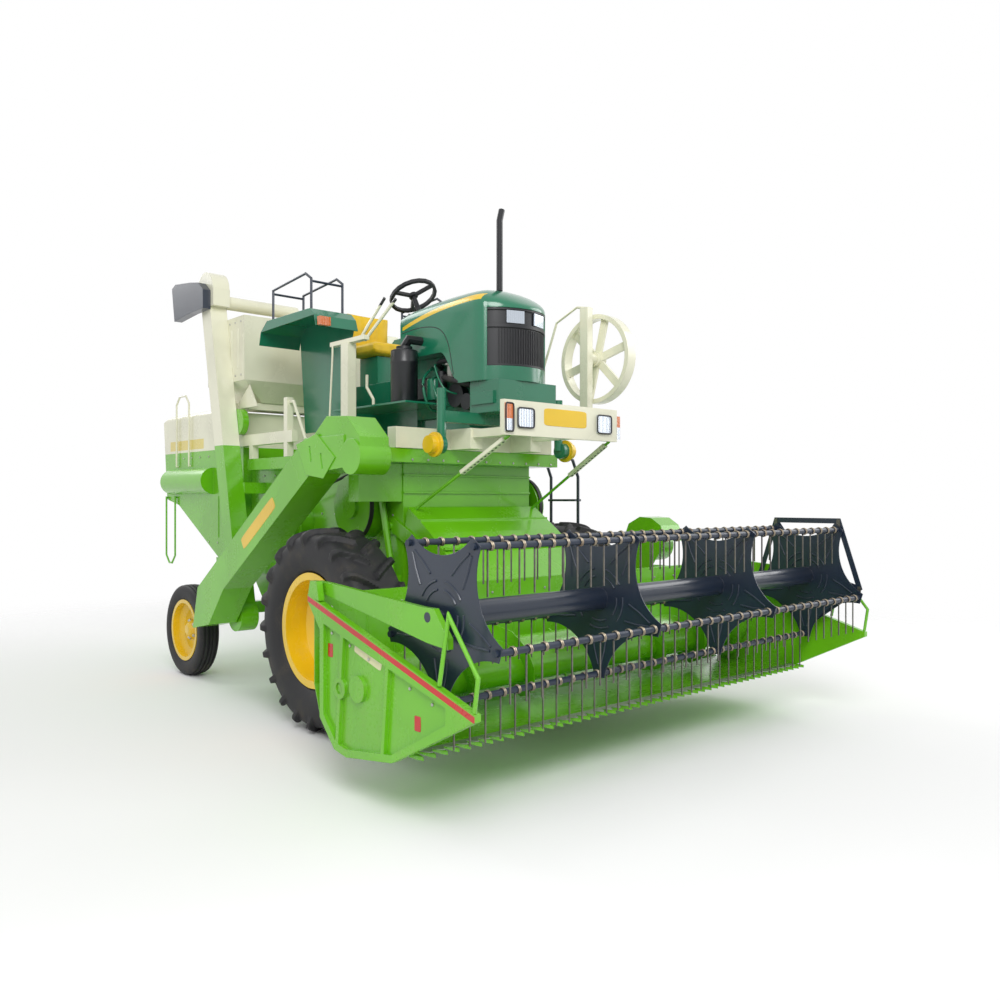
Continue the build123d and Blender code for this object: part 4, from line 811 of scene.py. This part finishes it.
def cushion(name, low, high, thin_axis, material):
    """A crowned pad: the sides of a square grid are drawn in by pull (1 - t^2) along them, its thickness
    goes as (1 - s^8 / 2)(1 - t^8 / 2), and two sewn channels cross it as bell curves in s."""
    steps, pull, seam, seam_width, seam_depth = 25, 0.035, 0.42, 0.05, 0.10
    share = np.linspace(-1, 1, steps)
    first, second = np.meshgrid(share, share, indexing="ij")
    flat = [axis for axis in range(3) if axis != thin_axis]
    pulled = 1 - pull * (1 - np.stack([second, first]) ** 2)
    crown = (1 - 0.5 * first**8) * (1 - 0.5 * second**8)
    channel = 1 - seam_depth * np.exp(-(((np.abs(first) - seam) / seam_width) ** 2))
    layers = []
    for sign in (-1, 1):
        grid = np.zeros((steps, steps, 3))
        grid[..., flat[0]] = first * pulled[0]
        grid[..., flat[1]] = second * pulled[1]
        grid[..., thin_axis] = sign * crown * channel
        layers.append(grid.reshape(-1, 3))
    edge = np.concatenate(
        [
            np.arange(steps) * steps,
            (steps - 1) * steps + np.arange(1, steps),
            np.arange(steps - 2, -1, -1) * steps + steps - 1,
            np.arange(steps - 2, 0, -1),
        ]
    )
    faces = grid_faces(steps, steps)
    count = steps * steps
    after = np.roll(edge, -1)
    wall = np.stack([edge, after, after + count, edge + count], axis=1)
    points = np.concatenate(layers) * (high - low) / 2 + (low + high) / 2
    made = piece(name, points, np.concatenate([faces, faces + count, wall]), material, "root")
    smoothing = made.modifiers.new("smooth", "SUBSURF")
    smoothing.levels = 1
    smoothing.render_levels = 1
    return made


# Wheel nuts: node, how many, and the radius of their ring
nut_rings = (("rim_front", 8, 0.165), ("rim_rear", 5, 0.080))
# Bolts on both sides: piece, node, heights, and first, end and pitch aft of the drive axle
side_bolts = (
    ("hood_bolts", "rear_hood", (2.04, 1.2), (2.4, 4.0, 0.2)),
    ("thresher_bolts", "thresher_body", (0.63, 1.5, 1.83), (0.0, 2.2, 0.2)),
    ("tank_bolts", "grain_tank", (2.74, 3.22), (2.06, 2.74, 0.11)),
)
# Bolts seen from the front: piece, node, height, first, end and pitch across, and how high the heads are
front_bolts = (
    ("deck_bolts", "deck", 1.90, (-0.7, 0.75, 0.14), 0.007),
    ("header_back_bolts", "header_platform", 0.99, (-1.75, 1.8, 0.25), 0.006),
)
# Upright ribs on both sides: piece, node, slot, lower and upper end, and places aft of the drive axle
side_ribs = (
    ("hood_ribs", "rear_hood", "lime", 1.25, 1.65, (2.6, 2.78, 3.7, 3.86)),
    ("tank_ribs", "grain_tank", "cream", 2.80, 3.16, np.arange(2.12, 2.7, 0.125)),
)


class HARVESTER_OT_fasteners(bpy.types.Operator):
    """Wheel nuts and rows of panel bolts."""

    bl_idname = "harvester.fasteners"
    bl_label = "Nuts and bolts"

    def execute(self, context):
        sizes = context.scene.harvester_sizes
        zinc = steel("zinc_fastener", zinc_shade, 0.42)
        bolt = (sizes.bolt_radius, sizes.bolt_height, zinc, "steel")
        hub_reach, panel_edge = 0.6, header_half - 0.008
        for side, name in sides:
            way = (-side, 0, 0)
            for rim, count, ring in nut_rings:
                node = f"{rim}_{name}"
                low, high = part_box(node)
                centre = np.array((low + high) / 2)
                starts = placed(centre, circle(count)[:, None], np.array([[side * hub_reach]]), ring)[:, 0]
                heads(f"{node}_nuts", node, starts, way, sizes.nut_radius, sizes.nut_height, zinc, "steel")
            rows = [at(side * beside, aft, 0.815 + 0.27 * (aft + 1.4)) for aft in np.arange(-2.25, -1.0, 0.18)]
            rows = [row for row in rows if abs(landed("header_platform", row, way)[0][0]) < panel_edge]
            heads(f"header_panel_bolts_{name}", "header_platform", rows, way, *bolt)
            for made, node, heights, run in side_bolts:
                rows = [at(side * beside, aft, z) for z in heights for aft in np.arange(*run)]
                heads(f"{made}_{name}", node, rows, way, *bolt)
        for made, node, z, run, height in front_bolts:
            rows = [at(x, ahead, z) for x in np.arange(*run)]
            heads(made, node, rows, (0, 1, 0), sizes.bolt_radius, height, zinc, "steel")
        return {"FINISHED"}


class HARVESTER_OT_pressed_ribs(bpy.types.Operator):
    """Ribs pressed into the hood, tank, reel spiders and header sheet."""

    bl_idname = "harvester.pressed_ribs"
    bl_label = "Pressed ribs"

    def execute(self, context):
        radius = context.scene.harvester_sizes.bead_radius
        own = {name: node.data.materials[0] for name, node in frame["nodes"].items()}
        for side, name in sides:
            for made, node, slot_name, low, high, places in side_ribs:
                lines = [(at(side * beside, aft, low), at(side * beside, aft, high)) for aft in places]
                ribs(f"{made}_{name}", node, lines, (-side, 0, 0), radius, own[node])
        low, high = 0.62, 0.95
        lines = [(at(x, ahead, low), at(x, ahead, high)) for x in np.arange(-1.7, 1.75, 0.2)]
        ribs("header_ribs", "header_platform", lines, (0, 1, 0), radius, own["header_platform"])
        spider_ribs(radius, own["reel"])
        return {"FINISHED"}


def spider_ribs(radius, material):
    """On both faces of each reel spider: two arcs round the hub between the arms and a V along each arm."""
    hub = np.array(joints["reel_spin"]["pos_m"])
    arms, first_arm, probe_radius, skip, count, spread = 5, math.radians(126), 0.20, 0.0015, 13, 0.42
    rings = (0.13, 0.175)
    vee_reach, vee_off = np.array([0.215, 0.30, 0.385]), np.array([0.052, 0.036, 0.010])

    def around(x, reach, angle, off=0.0):
        """Places at a radius and angle about the hub, set off square to that angle."""
        along = reach * np.cos(angle) - off * np.sin(angle)
        up = reach * np.sin(angle) + off * np.cos(angle)
        return np.stack([np.full(len(along), x), hub[1] + along, hub[2] + up], axis=1)

    faces_x = []
    start = around(-2.5, np.array([probe_radius]), first_arm)[0]
    while hit := landed("reel", start, (1, 0, 0)):
        faces_x.append(hit[0][0])
        start = hit[0] + np.array([skip, 0.0, 0.0])
    shapes = []
    for x in faces_x:
        for arm in range(arms):
            turn = first_arm + arm * 2 * math.pi / arms
            for ring in rings:
                path = around(x, ring, turn + np.linspace(-spread, spread, count))
                shapes.append(tube(path, radius, (1, 0, 0), 6))
            for sign in (-1, 1):
                shapes.append(tube(around(x, vee_reach, turn, sign * vee_off), radius, (1, 0, 0), 6))
    points, faces = joined(shapes)
    piece("spider_ribs", points, faces, material, "reel")


bonnet_half = 0.335


class HARVESTER_OT_bonnet(bpy.types.Operator):
    """Rounded bonnet skin with its panel seams in place of the plain one."""

    bl_idname = "harvester.bonnet"
    bl_label = "Bonnet"

    def execute(self, context):
        points, faces = bonnet_skin()
        paint = frame["nodes"]["tractor_bonnet"].data.materials[0]
        made = piece("bonnet_skin", points, faces, paint, "root")
        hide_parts("tractor_bonnet")
        seam = enamel("seam_black", context.scene.harvester_paint.black, gloss=0.5, coat=0.0)
        seam_radius = 0.003
        line = smooth_line([(0.31, 2.93), (0.05, 2.94), (-0.16, 2.90), (-0.27, 2.78), (-0.335, 2.54)], 8)
        for side, name in sides:
            path = np.stack([np.full(len(line), side * bonnet_half), axle_y + line[:, 0], line[:, 1]], axis=1)
            points, faces = tube(path, seam_radius, (1.0, 0, 0), 6)
            piece(f"bonnet_seam_{name}", points, faces, seam, "root")
        return {"FINISHED"}


def bonnet_skin():
    """Points of the plan outline, a round nose run into straight sides, are drawn towards the middle line
    by a share k. Below they close the floor; above, the height over the eave goes as (1 - k^2.6)^(1/2.6)
    of the crown, which itself bends along the bonnet. The nose is set back where the grille sits."""
    nose, radius, eave, pocket, power = -0.4194, 0.3806, 3.0, 0.031, 2.6
    sill, arch, arch_front, arch_run = 2.47, 0.25, -0.40, 0.22
    hair, lip = 0.0003, 0.0015
    low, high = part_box("grille")
    reach = math.asin((high.x + hair) / radius)
    angle = np.concatenate([[-reach - 0.004], np.linspace(-reach, reach, 41), [reach + 0.004]])
    arc = np.stack([radius * np.sin(angle), nose - radius * np.cos(angle)], axis=1)
    corner = [arc[-1], (0.3185, -0.634), (0.3325, -0.575), (bonnet_half, -0.50)]
    run = np.linspace(-0.48, 0.33, 34)
    straight = np.stack([np.full(len(run), bonnet_half), run], axis=1)
    flank = np.concatenate([smooth_line(corner, 6)[1:], straight])
    outline = np.concatenate([flank[::-1] * [-1, 1], arc, flank])
    spine = np.stack([np.zeros(len(outline)), np.maximum(outline[:, 1], nose)], axis=1)
    out = unit(outline - spine)
    share = np.clip((outline[:, 1] - arch_front) / arch_run, 0, 1)
    foot = sill + arch * share * share * (3 - 2 * share)
    inside = np.zeros(len(outline))
    inside[len(flank) + 1 : len(flank) + len(arc) - 1] = 1.0
    crown = [(-0.86, 3.0), (-0.78, 3.07), (-0.66, 3.135), (-0.48, 3.1725)]
    crown = smooth_line(crown + [(-0.1, 3.168), (0.2, 3.140), (0.33, 3.105)], 8)
    levels = [sill, 2.52, low.z - lip, low.z - hair, *np.linspace(2.62, 2.94, 9)]
    levels += [high.z + hair, high.z + lip, eave]
    rows = [np.column_stack([spine + k * (outline - spine), foot]) for k in (0.0, 0.45, 0.93)]
    for level in levels:
        back = pocket * inside * (low.z - 0.001 < level < high.z + 0.001)
        rows.append(np.column_stack([outline - back[:, None] * out, np.maximum(level, foot)]))
    for k in (0.995, 0.98, 0.95, 0.90, 0.82, 0.70, 0.55, 0.38, 0.20, 0.0):
        place = spine + k * (outline - spine)
        top = np.interp(place[:, 1], crown[:, 0], crown[:, 1])
        rows.append(np.column_stack([place, eave + (top - eave) * (1 - k**power) ** (1 / power)]))
    points = np.stack(rows, axis=1)
    points[..., 1] += axle_y
    return points.reshape(-1, 3), grid_faces(*points.shape[:2], wrap_rows=True)


# Front lamps with rims: place across, height, width and depth of the lamp
rimmed_lamps = ((-0.375, 2.16, 0.150, 0.130), (0.415, 2.16, 0.150, 0.130), (-0.525, 2.1575, 0.070, 0.185))


class HARVESTER_OT_bezels(bpy.types.Operator):
    """Rounded rims round the bumper lamps, and the air cleaner's round shell."""

    bl_idname = "harvester.bezels"
    bl_label = "Lamp rims"

    def execute(self, context):
        rim = enamel("bezel_black", context.scene.harvester_paint.black, gloss=0.35, coat=0.2)
        rim_radius = 0.006
        shapes = []
        for x, z, wide, high in rimmed_lamps:
            place, _ = landed("lamps", at(x, ahead, z), (0, 1, 0))
            across, up = rounded(wide, high, 0.25, 48)
            path = np.stack([x + across, np.full(len(across), place[1]), z + up], axis=1)
            shapes.append(tube(path, rim_radius, (0, 1, 0), 6, closed=True))
        points, faces = joined(shapes)
        piece("lamp_bezels", points, faces, rim, "root")
        can = [(0.0, -0.2), (0.098, -0.2), (0.1035, -0.19), (0.1035, 0.10), (0.106, 0.105), (0.106, 0.12)]
        can += [(0.1035, 0.125), (0.1035, 0.19), (0.09, 0.208), (0.062, 0.214), (0.062, 0.236), (0.0, 0.24)]
        points, faces = turned(np.array(can), at(-0.45, 0.12, 2.552), 40)
        piece("air_cleaner_shell", points, faces, rim, "root")
        return {"FINISHED"}


class HARVESTER_OT_tine_coils(bpy.types.Operator):
    """Coils of the spring tines where they wrap their bars."""

    bl_idname = "harvester.tine_coils"
    bl_label = "Tine coils"

    def execute(self, context):
        sizes = context.scene.harvester_sizes
        radius, wire_radius, coil_length, beside_tine, tines = sizes.coil_radius, 0.004, 0.02, 0.016, 33
        wire = steel("tine_spring", spring_shade, 0.45)
        turn = np.linspace(0, 4 * math.pi, 17)
        rise = (turn / turn[-1] - 0.5) * coil_length
        helix = np.stack([radius * np.cos(turn), radius * np.sin(turn), rise], axis=1)
        shape, faces = tube(helix, wire_radius, (0, 0, 1), 5)
        places = sizes.tine_pitch * (np.arange(tines) - tines // 2) + beside_tine
        for index in range(1, 6):
            hinge = joints[f"tine_bar_{index}_turn"]["pos_m"]
            origins = np.stack([places, places * 0 + hinge[1], places * 0 + hinge[2]], axis=1)
            points, all_faces = copies(shape, faces, origins, np.tile([[1.0, 0.0, 0.0]], (tines, 1)))
            piece(f"tine_coils_{index}", points, all_faces, wire, f"tine_bar_{index}")
        return {"FINISHED"}


# Belts: piece, place across, then each pulley's place aft, height and radius
belt_runs = (
    ("fan_belt", -0.775, (0.33, 1.56, 0.245), (1.32, 1.42, 0.150)),
    ("sieve_belt", 0.70, (0.90, 1.40, 0.200), (1.65, 1.30, 0.160)),
    ("feeder_belt", 0.735, (0.06, 1.56, 0.230), (0.90, 1.40, 0.200)),
)


class HARVESTER_OT_belts(bpy.types.Operator):
    """Drive belts round the pulleys on both sides of the body."""

    bl_idname = "harvester.belts"
    bl_label = "Belts"

    def execute(self, context):
        cloth = rubber("belt_rubber", 0.0, 0.0)
        for name, x, first, second in belt_runs:
            points, faces = belt(x, first, second)
            piece(name, points, faces, cloth, "root")
        return {"FINISHED"}


def belt(x, first, second):
    """A flat band: two arcs round the pulleys joined by their outer tangents, carried as a closed path."""
    start, end = np.array(first[:2]), np.array(second[:2])
    gap = np.linalg.norm(end - start)
    heading = math.atan2(end[1] - start[1], end[0] - start[0])
    open_angle = math.acos((first[2] - second[2]) / gap)
    large = heading + np.linspace(open_angle, 2 * math.pi - open_angle, 40)
    small = heading + np.linspace(-open_angle, open_angle, 32)
    lift = 0.006
    around = [
        centre + (reach + lift) * np.stack([np.cos(angle), np.sin(angle)], axis=1)
        for centre, reach, angle in ((start, first[2], large), (end, second[2], small))
    ]
    line = np.concatenate(around)
    path = np.stack([np.full(len(line), x), axle_y + line[:, 0], line[:, 1]], axis=1)
    run = unit(np.roll(path, -1, axis=0) - np.roll(path, 1, axis=0))
    out = np.cross(run, [1.0, 0.0, 0.0])
    corners = ((-0.014, -0.005), (0.014, -0.005), (0.017, 0.005), (-0.017, 0.005))
    points = np.stack([path + wide * np.array([1.0, 0, 0]) + deep * out for wide, deep in corners], axis=1)
    return points.reshape(-1, 3), grid_faces(len(path), 4, wrap_rows=True, wrap_columns=True)


class HARVESTER_OT_engine_pipes(bpy.types.Operator):
    """Hoses, fuel lines and a filter bowl on the engine's right side: each pipe leaves the block's side
    at the first (aft, up) pair of its route and comes back to it at the last."""

    bl_idname = "harvester.engine_pipes"
    bl_label = "Engine pipes"

    def execute(self, context):
        paint = context.scene.harvester_paint
        green = enamel("pipe_green", paint.green, dust=0.2)
        black = rubber("hose_rubber", 0.0, 0.0)
        pale = enamel("bowl_white", paint.bowl, dust=0.2)
        block_side = -0.17
        for name, radius, finish, route in (
            ("lower_hose", 0.024, black, [(-0.46, 2.44), (-0.30, -0.42, 2.47), (-0.31, -0.2, 2.53), (-0.12, 2.56)]),
            ("upper_hose", 0.020, black, [(-0.30, 2.64), (-0.27, -0.26, 2.66), (-0.27, -0.08, 2.66), (0.0, 2.62)]),
            ("fuel_line", 0.007, green, [(-0.28, 2.40), (-0.34, -0.24, 2.44), (-0.34, -0.12, 2.62), (0.02, 2.66)]),
            ("drain_line", 0.007, green, [(-0.16, 2.32), (-0.33, -0.16, 2.36), (-0.33, -0.08, 2.52), (0.06, 2.58)]),
            ("steering_pipe", 0.011, green, [(0.0, 2.30), (-0.32, -0.02, 2.32), (-0.36, 0.0, 2.52), (0.12, 2.66)]),
        ):
            first, *middle, last = route
            path = smooth_line([at(*place) for place in ((block_side, *first), *middle, (block_side, *last))], 8)
            points, faces = tube(path, radius, (0.1, 0.2, 1.0), 10)
            piece(name, points, faces, finish, "root")
        bowl = [(0.0, -0.10), (0.018, -0.096), (0.03, -0.07), (0.034, 0.0), (0.034, 0.03), (0.05, 0.032)]
        bowl += [(0.05, 0.06), (0.03, 0.066), (0.0, 0.066)]
        points, faces = turned(smooth_line(bowl, 3), at(-0.235, -0.19, 2.60), 24)
        piece("filter_bowl", points, faces, pale, "root")
        pot = [(0.0, -0.09), (0.052, -0.09), (0.058, -0.08), (0.058, 0.06), (0.05, 0.075), (0.0, 0.078)]
        points, faces = turned(np.array(pot), at(-0.255, 0.0, 2.47), 28)
        piece("filter_pot", points, faces, green, "root")
        return {"FINISHED"}


def turned(profile, centre, turns):
    """A profile of (radius, height) pairs turned about an upright line through a centre."""
    angle = circle(turns)[:, None]
    radius, height = profile[None, :, 0], profile[None, :, 1]
    points = np.stack([radius * np.cos(angle), radius * np.sin(angle), height + 0 * angle], axis=-1) + centre
    return points.reshape(-1, 3), grid_faces(turns, len(profile), wrap_rows=True)


class HARVESTER_OT_struts(bpy.types.Operator):
    """Two slanting struts from under the bumper to the thresher's front: a green rod in a strap whose holes are
    black discs of painted shade.
    """

    bl_idname = "harvester.struts"
    bl_label = "Front struts"

    def execute(self, context):
        paint, radius = context.scene.harvester_paint, context.scene.harvester_sizes.strut_radius
        green = enamel("strut_green", paint.lime, dust=0.2)
        cream = enamel("strut_cream", paint.cream, dust=0.2)
        # Black enamel for the strap's holes: painted shade, flat discs in place of real openings.
        dark = enamel("strut_holes", paint.black, gloss=0.5, coat=0.0)
        for side, name in sides:
            top_out, top_z, inside_face, foot_out, foot_z = 0.50, 2.10, 0.02, 0.60, 1.50
            face, _ = landed("bumper", at(side * top_out, ahead, top_z), (0, 1, 0))
            top, _ = landed("bumper", face + np.array([0.0, inside_face, -0.6]), (0, 0, 1))
            foot, _ = landed("thresher_body", at(side * foot_out, ahead, foot_z), (0, 1, 0))
            points, faces = tube(np.stack([top, foot]), radius, (1.0, 0, 0), 10)
            piece(f"front_strut_{name}", points, faces, green, "root")
            strap(name, top, foot, cream, dark)
        return {"FINISHED"}


def strap(name, top, foot, cream, dark):
    """A slim box round the upper part of a strut, its eight corners half a size off its middle along the
    strut, across the machine and square to both, with a row of black discs of painted shade for holes on its
    forward face."""
    start, share, wide, deep, count, hole = 0.24, 0.40, 0.040, 0.027, 12, 0.010
    reach = np.linalg.norm(foot - top)
    way = (foot - top) / reach
    middle = top + way * reach * start
    across = np.cross(way, (1.0, 0.0, 0.0))
    size = np.array([wide, deep, reach * share])
    corners = np.stack(np.meshgrid(*[[-0.5, 0.5]] * 3, indexing="ij"), axis=-1).reshape(-1, 3) * size
    points = middle + corners @ np.stack([(1.0, 0.0, 0.0), across, way])
    faces = np.array([(0, 1, 3, 2), (4, 6, 7, 5), (0, 4, 5, 1), (2, 3, 7, 6), (0, 2, 6, 4), (1, 5, 7, 3)])
    piece(f"front_strap_{name}", points, faces, cream, "root", smooth=False)
    out = across * (-1 if across[1] > 0 else 1)
    # Thin black hexagons on the strap's face: painted shade where the holes would be.
    shape, faces = hexagon_head(hole, 0.0012)
    steps = np.linspace(-0.45, 0.45, count)[:, None] * size[2]
    spots = middle + out * deep / 2 + steps * way
    points, faces = copies(shape, faces, spots, [out] * count)
    piece(f"front_strap_holes_{name}", points, faces, dark, "root")


class HARVESTER_OT_plates(bpy.types.Operator):
    """Blank yellow plates, red reflectors and the bumper's blank board."""

    bl_idname = "harvester.plates"
    bl_label = "Blank plates"

    def execute(self, context):
        paint = context.scene.harvester_paint
        yellow = enamel("plate_yellow", paint.yellow, dust=0.1)
        red = enamel("reflector_red", paint.red, gloss=0.12, dust=0.1)
        pale = enamel("plate_cream", paint.plate, dust=0.1)
        slope, start = (0, 0.835, -0.549), at(-beside, 0.90, 1.43)
        label("return_elevator_plate", "return_elevator", start, (1, 0, 0), slope, 0.62, 0.10, yellow)
        start = at(0.018, ahead, 2.18)
        label("bumper_plate", "bumper", start, (0, 1, 0), (1, 0, 0), 0.43, 0.12, yellow)
        for side, name in sides:
            way = (-side, 0, 0)
            for index, (aft, z) in enumerate(((-1.15, 0.78), (-1.95, 0.52))):
                start, plate = at(side * beside, aft, z), f"panel_reflector_{name}_{index}"
                label(plate, "header_platform", start, way, (0, 0, 1), 0.075, 0.05, red)
            start, plate = at(side * 0.62, behind, 2.0), f"rear_reflector_{name}"
            label(plate, "rear_hood", start, (0, -1, 0), (1, 0, 0), 0.07, 0.10, red)
            start, plate = at(side * beside, -1.52, 0.80), f"panel_plate_{name}"
            label(plate, "header_platform", start, way, (0, 0.959, 0.283), 0.26, 0.07, pale)
        return {"FINISHED"}


# Lights: piece, place, diameter and the setting that holds its power
lights = (
    ("key_light", (-5.5, -7.5, 7.0), 5.0, "key_power"),
    ("fill_light", (7.5, -4.0, 5.0), 6.0, "fill_power"),
    ("back_light", (-2.0, 8.0, 7.5), 6.0, "fill_power"),
)
aimed_at, sight = Vector((0, 0, 1.2)), Vector((0.672, 0.7406, 0.0))


class HARVESTER_OT_studio(bpy.types.Operator):
    """Pale floor, soft lights, white surroundings and the camera at the photograph's angle."""

    bl_idname = "harvester.studio"
    bl_label = "Studio"

    def execute(self, context):
        studio = context.scene.harvester_studio
        scene = context.scene
        lens_data = bpy.data.cameras.new("camera")
        lens_data.lens = studio.lens
        lens_data.sensor_width = 36.0
        lens_data.clip_end = 100.0
        camera = bpy.data.objects.new("camera", lens_data)
        eye = (studio.eye_across, axle_y + studio.eye_aft, studio.eye_height)
        aim(camera, eye, sight)
        scene.camera = camera
        scene.view_settings.view_transform = "Standard"
        for name, place, size, power in lights:
            data = bpy.data.lights.new(name, "AREA")
            data.shape = "DISK"
            data.size = size
            data.energy = getattr(studio, power)
            aim(bpy.data.objects.new(name, data), place, aimed_at - Vector(place))
        surroundings(scene, studio.ambient)
        floor()
        return {"FINISHED"}


def aim(made, place, way):
    """Stand a camera or light at a place, looking along a direction."""
    made.location = place
    made.rotation_mode = "QUATERNION"
    made.rotation_quaternion = way.to_track_quat("-Z", "Y")
    bpy.context.scene.collection.objects.link(made)


def surroundings(scene, ambient):
    """A white sky for the camera and for reflections, and a dimmer one that lights the machine."""
    world = bpy.data.worlds.new("surroundings")
    scene.world = world
    world.use_nodes = True
    tree = world.node_tree
    tree.nodes.clear()
    ray = tree.nodes.new("ShaderNodeLightPath")
    seen = ray.outputs["Is Camera Ray"]
    for kind in ("Is Transmission Ray", "Is Glossy Ray"):
        either = tree.nodes.new("ShaderNodeMath")
        either.operation = "MAXIMUM"
        tree.links.new(seen, either.inputs[0])
        tree.links.new(ray.outputs[kind], either.inputs[1])
        seen = either.outputs[0]
    level = tree.nodes.new("ShaderNodeMapRange")
    level.inputs["To Min"].default_value = ambient
    level.inputs["To Max"].default_value = 1.0
    tree.links.new(seen, level.inputs["Value"])
    sky = tree.nodes.new("ShaderNodeBackground")
    tree.links.new(level.outputs[0], sky.inputs["Strength"])
    end = tree.nodes.new("ShaderNodeOutputWorld")
    tree.links.new(sky.outputs[0], end.inputs[0])
    sky.inputs["Color"].default_value = (1.0, 1.0, 1.0, 1.0)


def floor():
    """A flat disc of rings that fades out towards its edge, so that no horizon shows."""
    edge, rings, turns, drop = 16.0, 17, 64, -0.001
    fade_start, fade_end = 4.5, 9.0
    ring, angle = np.linspace(0.0, edge, rings)[:, None], circle(turns)[None]
    points = np.stack([ring * np.cos(angle), ring * np.sin(angle), ring * 0 + angle * 0 + drop], axis=-1)
    mesh = bpy.data.meshes.new("floor")
    faces = grid_faces(rings, turns, wrap_columns=True)
    mesh.from_pydata(points.reshape(-1, 3).tolist(), [], faces.tolist())
    made = bpy.data.objects.new("floor", mesh)
    bpy.context.scene.collection.objects.link(made)
    finish = Finish("pale_floor")
    reach = (finish.x * finish.x + finish.y * finish.y).root()
    finish.set(Base_Color=(0.92, 0.92, 0.92, 1.0), Roughness=0.9)
    clear = finish.node("ShaderNodeBsdfTransparent")
    values = {0: reach.ramp(fade_start, fade_end), 1: Value(finish, finish.shader.outputs[0]), 2: clear}
    shown = finish.node("ShaderNodeMixShader", {}, values)
    finish.feed(finish.end.inputs[0], shown)
    mesh.materials.append(finish.material)


class HARVESTER_PT_panel(bpy.types.Panel):
    """Lists the machine's pieces in the sidebar."""

    bl_idname = "HARVESTER_PT_panel"
    bl_label = "Harvester"
    bl_space_type = "VIEW_3D"
    bl_region_type = "UI"
    bl_category = "Harvester"

    def draw(self, context):
        for operator in operators:
            self.layout.operator(operator.bl_idname)
        scene = context.scene
        for group in (scene.harvester_paint, scene.harvester_sizes, scene.harvester_studio):
            for name in group.__annotations__:
                self.layout.prop(group, name)


operators = (
    HARVESTER_OT_finishes,
    HARVESTER_OT_tyres,
    HARVESTER_OT_seat,
    HARVESTER_OT_fasteners,
    HARVESTER_OT_pressed_ribs,
    HARVESTER_OT_bonnet,
    HARVESTER_OT_bezels,
    HARVESTER_OT_tine_coils,
    HARVESTER_OT_belts,
    HARVESTER_OT_engine_pipes,
    HARVESTER_OT_struts,
    HARVESTER_OT_plates,
    HARVESTER_OT_studio,
)
groups = (HarvesterPaint, HarvesterSizes, HarvesterStudio)


def register():
    """Register the classes and hang the settings on the scene."""
    for cls in (*groups, *operators, HARVESTER_PT_panel):
        bpy.utils.register_class(cls)
    bpy.types.Scene.harvester_paint = bpy.props.PointerProperty(type=HarvesterPaint)
    bpy.types.Scene.harvester_sizes = bpy.props.PointerProperty(type=HarvesterSizes)
    bpy.types.Scene.harvester_studio = bpy.props.PointerProperty(type=HarvesterStudio)


def unregister():
    """Take the settings and classes away again."""
    del bpy.types.Scene.harvester_paint
    del bpy.types.Scene.harvester_sizes
    del bpy.types.Scene.harvester_studio
    for cls in (*groups, *operators, HARVESTER_PT_panel)[::-1]:
        bpy.utils.unregister_class(cls)


def main():
    """Run every operator in order."""
    register()
    bpy.ops.harvester.finishes()
    bpy.ops.harvester.tyres()
    bpy.ops.harvester.seat()
    bpy.ops.harvester.fasteners()
    bpy.ops.harvester.pressed_ribs()
    bpy.ops.harvester.bonnet()
    bpy.ops.harvester.bezels()
    bpy.ops.harvester.tine_coils()
    bpy.ops.harvester.belts()
    bpy.ops.harvester.engine_pipes()
    bpy.ops.harvester.struts()
    bpy.ops.harvester.plates()
    bpy.ops.harvester.studio()


if __name__ == "__main__":
    main()
